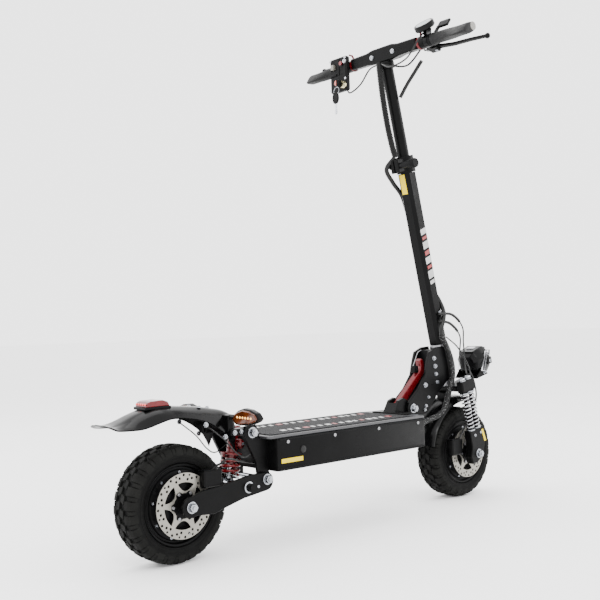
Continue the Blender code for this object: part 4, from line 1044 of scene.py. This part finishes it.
def headlight():
    """An angular lamp: dark shell with silver frames, a lens, a visor and side pods."""
    face = [(-0.04, 0.34), (-0.028, 0.3215), (0.028, 0.3215), (0.04, 0.34), (0.0445, 0.372),
            (0.028, 0.3965), (-0.028, 0.3965), (-0.0445, 0.372)]
    shape = bmesh.new()
    rings = []
    centre = (0.0, 0.36)
    for x, grow in ((0.108, 0.55), (0.118, 0.86), (0.135, 1.0), (0.162, 1.0), (0.172, 0.9)):
        rings.append([shape.verts.new(steer(x, centre[0] + (y - centre[0]) * grow,
                                              centre[1] + (z - centre[1]) * grow)) for y,
                                                       z in face])
    add_skin(shape, rings)
    shape.faces.new(rings[0])
    shape.faces.new(rings[-1][::-1])
    softened(piece("lamp_shell", shape, GLOSS, "steerer", "black_plastic", 30, ["headlight"]), 0.0015)

    def frame_loop(name, outline, x0, x1, width, material, matrix):
        """A raised picture-frame moulding round an outline."""
        cx = sum(p[0] for p in outline) / len(outline)
        cy = sum(p[1] for p in outline) / len(outline)
        inner = []
        for a, b in outline:
            away = Vector((cx - a, cy - b)).normalized() * width
            inner.append((a + away.x, b + away.y))
        made = bmesh.new()
        sets = []
        for pts in (outline, inner):
            for x in (x0, x1):
                sets.append([made.verts.new(matrix @ Vector((x, a, b))) for a, b in pts])
        low_out, high_out, low_in, high_in = sets
        add_skin(made, [low_out, high_out, high_in, low_in, low_out])
        return softened(piece(name, made, material, "steerer", "black_plastic"), 0.0006)

    for name, side in (("left", 1), ("right", -1)):
        swap = STEER @ Matrix(((0, 1, 0, 0), (side, 0, 0, 0), (0, 0, 1, 0), (0, 0, 0, 1)))
        eye = [(0.118, 0.336), (0.15, 0.388), (0.158, 0.384), (0.128, 0.332)]
        frame_loop("lamp_side_frame_" + name, eye, 0.042, 0.0458, 0.0026, SILVER, swap)
        vent = [(0.154, 0.376), (0.16, 0.39), (0.172, 0.386), (0.166, 0.371)]
        frame_loop("lamp_vent_frame_" + name, vent, 0.04, 0.0455, 0.0018, SILVER, swap)
        block("lamp_pod_" + name, (0.15, min(side * 0.034, side * 0.046), 0.345),
              (0.172, max(side * 0.034, side * 0.046), 0.366),
              GLOSS, "steerer", STEER, 0.003, slot="black_plastic")
        knob = bmesh.new()
        bolt_head(knob, steer(0.161, side * 0.046, 0.3555), (0, side, 0), 0.0048, 0.002, 0, True)
        bolt_head(knob, steer(0.132, side * 0.0405, 0.329), (0, side, 0), 0.0044, 0.004, 0.006)
        piece("lamp_side_screws_" + name, knob, ZINC, "steerer", "zinc")
        bracket = [(0.094, 0.3195), (0.148, 0.3195), (0.142, 0.334), (0.12, 0.34)]
        y0, y1 = sorted((side * 0.0365, side * 0.04))
        slab("lamp_ear_" + name, bracket, y0, y1, BLACK, "steerer", STEER, "Y", 0.0008, slot="black_frame")
    block("lamp_bracket_floor", (0.094, -0.04, 0.3185), (0.148, 0.04, 0.321), BLACK, "steerer", STEER,
          0.0006,
          slot="black_frame")
    for index, (low, high) in enumerate(((0.332, 0.35), (0.364, 0.384))):
        mouth = [(-0.03, low), (0.03, low), (0.026, high), (-0.026, high)]
        frame_loop("lamp_mouth_%d" % index, mouth, 0.17, 0.1785, 0.003, SILVER, STEER)
        glass = [(a * 0.9, (low + high) / 2 + (b - (low + high) / 2) * 0.75) for a, b in mouth]
        slab("lamp_glass_%d" % index, glass, 0.17, 0.1758, LENS, "steerer", STEER, "X", 0.0012)
    visor = [(0.112, 0.395), (0.16, 0.4), (0.18, 0.39), (0.158, 0.393), (0.118, 0.39)]
    slab("lamp_visor", visor, -0.026, 0.026, GLOSS, "steerer", STEER, "Y", 0.001, slot="black_plastic")
    block("lamp_brow_trim", (0.134, -0.012, 0.3975), (0.15, 0.012, 0.4005), SILVER, "steerer", STEER,
          0.0006)


# --- handlebar --------------------------------------------------------------------------------------
def grip(name, side):
    """A grip that flares into a palm rest, lofted from oval sections."""
    body = name + "_bar"
    droop = Matrix.Rotation(-GRIP_DROOP, 4, "Y")
    stations = [
        (0.1652, 0.0155, 0.0, 0.0155), (0.1665, 0.0165, 0.0, 0.0165), (0.172, 0.0165, 0.0, 0.0165),
        (0.176, 0.015, 0.0, 0.015), (0.2, 0.0155, 0.001, 0.0152), (0.22, 0.0185, 0.006, 0.015),
        (0.24, 0.0235, 0.013, 0.0146), (0.26, 0.0285, 0.0185, 0.0142), (0.278, 0.029, 0.0185, 0.0142),
        (0.288, 0.0265, 0.0155, 0.014), (0.294, 0.0215, 0.011, 0.0125), (0.2949, 0.015, 0.007, 0.009),
    ]
    shape = bmesh.new()
    rings = []
    steps = 36
    for y, wide, shift, thick in stations:
        ring = []
        for i in range(steps):
            a = 2 * math.pi * i / steps
            x = wide * math.cos(a) - shift
            squeeze = 1.0 if x > -0.012 else max(0.45, 1.0 - (-x - 0.012) * 18)
            z = thick * math.sin(a) * squeeze
            ring.append(shape.verts.new(BAR @ (droop @ Vector((x, side * y, z)))))
        rings.append(ring)
    add_skin(shape, rings)
    shape.faces.new(rings[0])
    shape.faces.new(rings[-1][::-1])
    piece("grip_" + name + "_sleeve", shape, GRIP, body, "rubber", 60, ["grip_" + name])
    cap = bmesh.new()
    add_lathe(cap, [(0, 0), (0.0112, 0), (0.0108, 0.0008), (0, 0.0009)], bar(0, side * 0.2946, 0),
              (0, side, 0), 28)
    piece("grip_cap_" + name, cap, GREY, body, "grey_plastic")


def bars():
    sleeves = (("left", 1), ("right", -1))
    for name, side in sleeves:
        grip(name, side)
        shape = bmesh.new()
        add_ring(shape, [(0.0113, side * 0.1212), (0.0172, side * 0.1212), (0.0176, side * 0.1225),
                         (0.0176, side * 0.1258), (0.0165, side * 0.1275), (0.0113, side * 0.1275)],
                 bar(0, 0, 0), (0, 1, 0), 40)
        piece("bar_collar_" + name, shape, RED, name + "_bar", "red_paint", 30)
        shape = bmesh.new()
        tip = bar(0.0, side * 0.124, 0.016)
        add_tube(shape, [tip, tip + Vector((-0.004, side * 0.004, 0.012)),
                         tip + Vector((-0.009, side * 0.012, 0.016))],
                 [0.003, 0.0028, 0.002], 12)
        piece("bar_latch_" + name, shape, RED, name + "_bar", "red_paint")

    screws = bmesh.new()
    for y in (-0.0385, 0.0385):
        spot = steer(-0.0112, y, 1.2737)
        back = -Vector((UP.z, 0, -UP.x))
        bolt_head(screws, spot, back, 0.0052, 0.002, 0.0066, True)
        front = steer(0.0252, y, 1.2737)
        bolt_head(screws, front, -back, 0.0052, 0.002, 0.0066, True)
    piece("block_screws", screws, ZINC, "upper_stem", "zinc")
    shape = bmesh.new()
    add_ring(shape, [(0.0167, 1.233), (0.0215, 1.2345), (0.0215, 1.25), (0.02, 1.2525), (0.0167, 1.2525)],
             STEER_FOOT, UP, 48)
    piece("block_socket", shape, BLACK, "upper_stem", "black_frame", 30)

    for name, side in sleeves:
        screws = bmesh.new()
        pivot = Vector(joint(name + "_brake")["pos_m"])
        axis = Vector(joint(name + "_brake")["axis"])
        up = axis if axis.z > 0 else -axis
        bolt_head(screws, pivot + up * 0.0095, up, 0.0045, 0.002, 0, True)
        bolt_head(screws, pivot - up * 0.0095, -up, 0.0045, 0.0022, 0)
        piece("perch_screws_" + name, screws, ZINC, name + "_bar", "zinc")
        barrel = bmesh.new()
        ahead = (pivot - (bar(0, side * 0.151, 0))).normalized()
        start = pivot + Vector((0, -side * 0.0215, 0)) + ahead * 0.004
        add_tube(barrel, [start, start + Vector((0, -side * 0.008, 0)),
                          start + Vector((0, -side * 0.0082, 0)),
                          start + Vector((0, -side * 0.015, 0))], [0.0046, 0.0046, 0.0032, 0.003], 16)
        piece("cable_barrel_" + name, barrel, STEEL, name + "_bar", "zinc", 30)


def add_segments(shape, centre, right, up, out, width, height):
    """Two generic seven-segment digits, drawn as small bars."""
    bars_on = {"a": (0, 1, 1), "b": (1, 0.5, 0), "c": (1, -0.5, 0), "d": (0, -1, 1), "e": (-1, -0.5, 0),
               "f": (-1, 0.5, 0), "g": (0, 0, 1)}
    for digit in (-1, 1):
        for key in "abcdef":
            sx, sy, flat = bars_on[key]
            spot = centre + right * (digit * width * 1.15 + sx * width * 0.62) + up * (sy * height)
            long, thin = (width * 0.52, height * 0.11) if flat else (width * 0.11, height * 0.42)
            corners = [spot + right * (a * long) + up * (b * thin) for a,
                       b in ((-1, -1), (1, -1), (1, 1), (-1, 1))]
            low = [shape.verts.new(c) for c in corners]
            high = [shape.verts.new(c + out * 0.0003) for c in corners]
            shape.faces.new(low)
            shape.faces.new(high[::-1])
            for i in range(4):
                j = (i + 1) % 4
                shape.faces.new([low[i], low[j], high[j], high[i]])


def controls():
    out = Vector((-0.6, 0, 0.8))
    right = Vector((0, -1, 0))
    up = Vector((0.8, 0, 0.6))
    centre = rear(0.722, -0.1475, 1.278)
    shape = bmesh.new()
    add_lathe(shape, [(0, -0.008), (0.0245, -0.008), (0.0275, -0.005), (0.0275, 0.005), (0.0262, 0.008),
                      (0.0232, 0.0084), (0.0225, 0.007), (0, 0.007)], centre, out, 64)
    add_box(shape, (0.72, -0.1555, 1.2535), (0.74, -0.144, 1.274), REAR)
    add_ring(shape, [(0.0114, -0.156), (0.0165, -0.156), (0.0165, -0.1435), (0.0114, -0.1435)],
             bar(0, 0, 0), (0, 1, 0), 32)
    piece("display_case", shape, GLOSS, "right_bar", "black_plastic", 30, ["display"])
    shape = bmesh.new()
    add_lathe(shape, [(0, 0.0071), (0.0222, 0.0071), (0.0215, 0.008), (0, 0.0084)], centre, out, 64)
    piece("display_glass_disc", shape, SCREEN, "right_bar", "black_plastic")
    shape = bmesh.new()
    add_segments(shape, centre + out * 0.0083 + up * 0.003, right, up, out, 0.005, 0.0062)
    for i in range(7):
        a = math.radians(200 + 20 * i)
        spot = centre + out * 0.008 + right * (0.0178 * math.cos(a)) + up * (0.0178 * math.sin(a))
        add_lathe(shape, [(0, 0), (0.0011, 0), (0.0011, 0.0004), (0, 0.0004)], spot, out, 8)
    piece("display_marks", shape, SEGMENT, "right_bar", "black_plastic")

    face = rear(0.697, 0, 0)
    lock = Vector((face.x - 0.0132, 0.132, 1.181))
    shape = bmesh.new()
    add_ring(shape, [(0.0052, 0), (0.0094, 0), (0.0098, 0.0012), (0.0098, 0.0128), (0.0052, 0.0128)],
             lock, (1, 0, 0), 32)
    piece("lock_ring", shape, BRASS, "left_bar", "zinc", 30)
    shape = bmesh.new()
    for y, z in ((0.126, 1.258), (0.185, 1.258), (0.126, 1.199), (0.185, 1.174)):
        bolt_head(shape, (face.x, y, z), (-1, 0, 0), 0.0034, 0.0016, 0, True)
    bolt_head(shape, (face.x, 0.1275, 1.2475), (-1, 0, 0), 0.005, 0.0026, 0.0062, True)
    piece("pod_screws", shape, ZINC, "left_bar", "zinc")
    shape = bmesh.new()
    for centre_y, centre_z, radius in ((0.156, 1.19, 0.0112), (0.141, 1.244, 0.0088)):
        add_ring(shape, [(radius - 0.0022, 0), (radius, 0), (radius - 0.0004, -0.0018),
                         (radius - 0.002, -0.0018)],
                 (face.x, centre_y, centre_z), (1, 0, 0), 36)
    piece("button_bezels", shape, GLOSS, "left_bar", "matte_plastic", 30)
    shape = bmesh.new()
    add_box(shape, (face.x - 0.0028, 0.16, 1.212), (face.x + 0.0005, 0.186, 1.218))
    add_box(shape, (face.x - 0.002, 0.149, 1.212), (face.x + 0.0005, 0.1545, 1.26))
    softened(piece("pod_ribs", shape, MATTE, "left_bar", "matte_plastic"), 0.001)
    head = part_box("key")
    loop_centre = Vector(((head[0][0] + head[1][0]) / 2, 0.14, 1.162))
    shape = bmesh.new()
    ring = []
    for i in range(33):
        a = 2 * math.pi * i / 32
        ring.append(loop_centre + Vector((0.0015 * math.sin(a), 0.0105 * math.cos(a),
                                          0.0105 * math.sin(a))))
    add_tube(shape, ring, 0.0008, 8)
    piece("key_ring", shape, ZINC, "left_bar", "zinc")
    low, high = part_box("key")
    shape = bmesh.new()
    x = (low[0] + high[0]) / 2
    blade = [(0.1396, 1.129), (0.1396, 1.1), (0.142, 1.0955), (0.145, 1.0955), (0.1474, 1.099),
             (0.1462, 1.104), (0.1476, 1.1075), (0.146, 1.112), (0.1476, 1.116), (0.1476, 1.129)]
    add_prism(shape, blade, x - 0.0014, x + 0.0014, None, "X")
    softened(piece("key_blade", shape, ZINC, "key", "zinc"), 0.0003)
    shape = bmesh.new()
    oval = [(0.1435 + 0.0118 * math.cos(2 * math.pi * i / 40),
             1.142 + 0.0172 * math.sin(2 * math.pi * i / 40))
            for i in range(40)]
    add_prism(shape, oval, x - 0.0029, x + 0.0029, None, "X")
    softened(piece("key_head", shape, MATTE, "key", "matte_plastic", hides=["key"]), 0.0014, 3)


def bar_cables():
    """Brake and control cables that loop from the bars into the loom."""
    def run(name, points, radius):
        shape = bmesh.new()
        add_tube(shape, smooth_path(points, 8), radius, 8)
        made = piece(name, shape, CABLE, None, "matte_plastic")
        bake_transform(made)

    gather = [steer(-0.029, y, 1.248) for y in (-0.004, 0.0, 0.004)]
    for name, side in (("left", 1), ("right", -1)):
        pivot = Vector(joint(name + "_brake")["pos_m"])
        start = pivot + Vector((0.002, -side * 0.036, 0.001))
        knee = bar(0.055, side * 0.085, 0.03 if side > 0 else 0.012)
        under = bar(0.032, side * 0.05, -0.034)
        run("brake_cable_" + name, [start, start + Vector((0.006, -side * 0.014, 0.004)), knee,
                                    under, bar(-0.01, side * 0.026, -0.038), gather[1 + side]],
            0.0025)
    pod_foot = rear(0.706, 0, 0)
    start = Vector((pod_foot.x, 0.13, 1.168))
    run("pod_cable", [start, start + Vector((0.0, -0.014, -0.012)),
                      Vector((pod_foot.x + 0.004, 0.08, 1.172)),
                      Vector((pod_foot.x - 0.004, 0.036, 1.202)), gather[2]], 0.0022)
    start = rear(0.712, -0.15, 1.256)
    run("display_cable", [start, start + Vector((-0.016, 0.004, -0.02)), rear(0.69, -0.11, 1.196),
                          rear(0.692, -0.05, 1.188), gather[0]], 0.0022)


def stand():
    """A return spring on the side stand."""
    pivot = Vector(joint("kickstand_pivot")["pos_m"])
    foot = middle("kickstand")
    toward = (foot - pivot).normalized()
    start = pivot + toward * 0.016 + Vector((0.01, -0.006, 0.004))
    end = start + toward * 0.06 + Vector((-0.006, 0.004, 0))
    shape = bmesh.new()
    add_tube(shape, helix(start, end, 0.0036, 14, 12), 0.0008, 6)
    piece("stand_spring", shape, ZINC, "kickstand", "zinc")


# --- CAD pieces that keep their shape -----------------------------------------------------------------
def dress_cad():
    """Give each CAD node that still shows its finish and smooth shading."""
    finishes = {
        "black_frame": BLACK, "black_plastic": GLOSS, "matte_plastic": MATTE, "rubber": GRIP, "tyre": TYRE,
        "deck_edge": EDGE, "zinc": ZINC, "disc_steel": DISC, "spring_chrome": CHROME, "red_paint": RED,
        "red_lens": RED_LENS, "amber_lens": AMBER, "orange_plastic": ORANGE, "grey_plastic": GREY,
        "battery_wrap": WRAP, "cast_grey": CAST,
    }
    slots = {entry["node"]: entry["material_slot"] for entry in frame["record"]["subparts"]}
    for name, node in frame["nodes"].items():
        node.data.materials.clear()
        node.data.materials.append(finishes[slots[name]])
        if node.hide_render:
            continue
        node.data.polygons.foreach_set("use_smooth", [True] * len(node.data.polygons))
        weld = node.modifiers.new("weld", "WELD")
        weld.merge_threshold = 0.00002
        split = node.modifiers.new("split", "EDGE_SPLIT")
        split.split_angle = math.radians(32)
        split.use_edge_sharp = False


# --- camera, floor and lights ------------------------------------------------------------------------
def studio():
    data = bpy.data.cameras.new("camera")
    data.sensor_width = SENSOR_MM
    data.lens = LENS_MM
    camera = bpy.data.objects.new("camera", data)
    bpy.context.scene.collection.objects.link(camera)
    right, up, back = CAMERA_RIGHT, CAMERA_UP, -CAMERA_FORWARD
    place = rear(*CAMERA_PLACE)
    camera.matrix_world = Matrix((
        (right.x, up.x, back.x, place.x), (right.y, up.y, back.y, place.y),
        (right.z, up.z, back.z, place.z),
        (0, 0, 0, 1)))
    bpy.context.scene.camera = camera

    shape = bmesh.new()
    bmesh.ops.create_grid(shape, x_segments=1, y_segments=1, size=30)
    mesh = bpy.data.meshes.new("floor")
    shape.to_mesh(mesh)
    shape.free()
    mesh.materials.append(PAPER)
    floor = bpy.data.objects.new("floor", mesh)
    bpy.context.scene.collection.objects.link(floor)

    def area(name, place, target, size, power):
        light = bpy.data.lights.new(name, "AREA")
        light.shape = "RECTANGLE"
        light.size, light.size_y = size
        light.energy = power
        made = bpy.data.objects.new(name, light)
        bpy.context.scene.collection.objects.link(made)
        made.location = place
        made.rotation_euler = (Vector(target) - Vector(place)).to_track_quat("-Z", "Y").to_euler()

    area("key", (-1.6, -2.4, 2.6), (0, 0, 0.4), (0.8, 0.8), 45)
    area("side", (2.6, -1.8, 1.6), (0.2, 0, 0.5), (0.8, 1.6), 35)
    area("top", (0.0, 0.4, 3.4), (0, 0, 0.3), (2.0, 2.0), 50)
    area("far", (-1.8, 2.8, 1.8), (0, 0, 0.5), (1.6, 1.6), 40)
    world = bpy.data.worlds.new("white_room")
    bpy.context.scene.world = world
    world.use_nodes = True
    world.node_tree.nodes["Background"].inputs["Color"].default_value = (1, 1, 1, 1)
    world.node_tree.nodes["Background"].inputs["Strength"].default_value = ROOM_STRENGTH


studio()
wheels()
rear_end()
deck()
neck()
stem()
looms()
fork()
headlight()
bars()
controls()
bar_cables()
stand()
dress_cad()
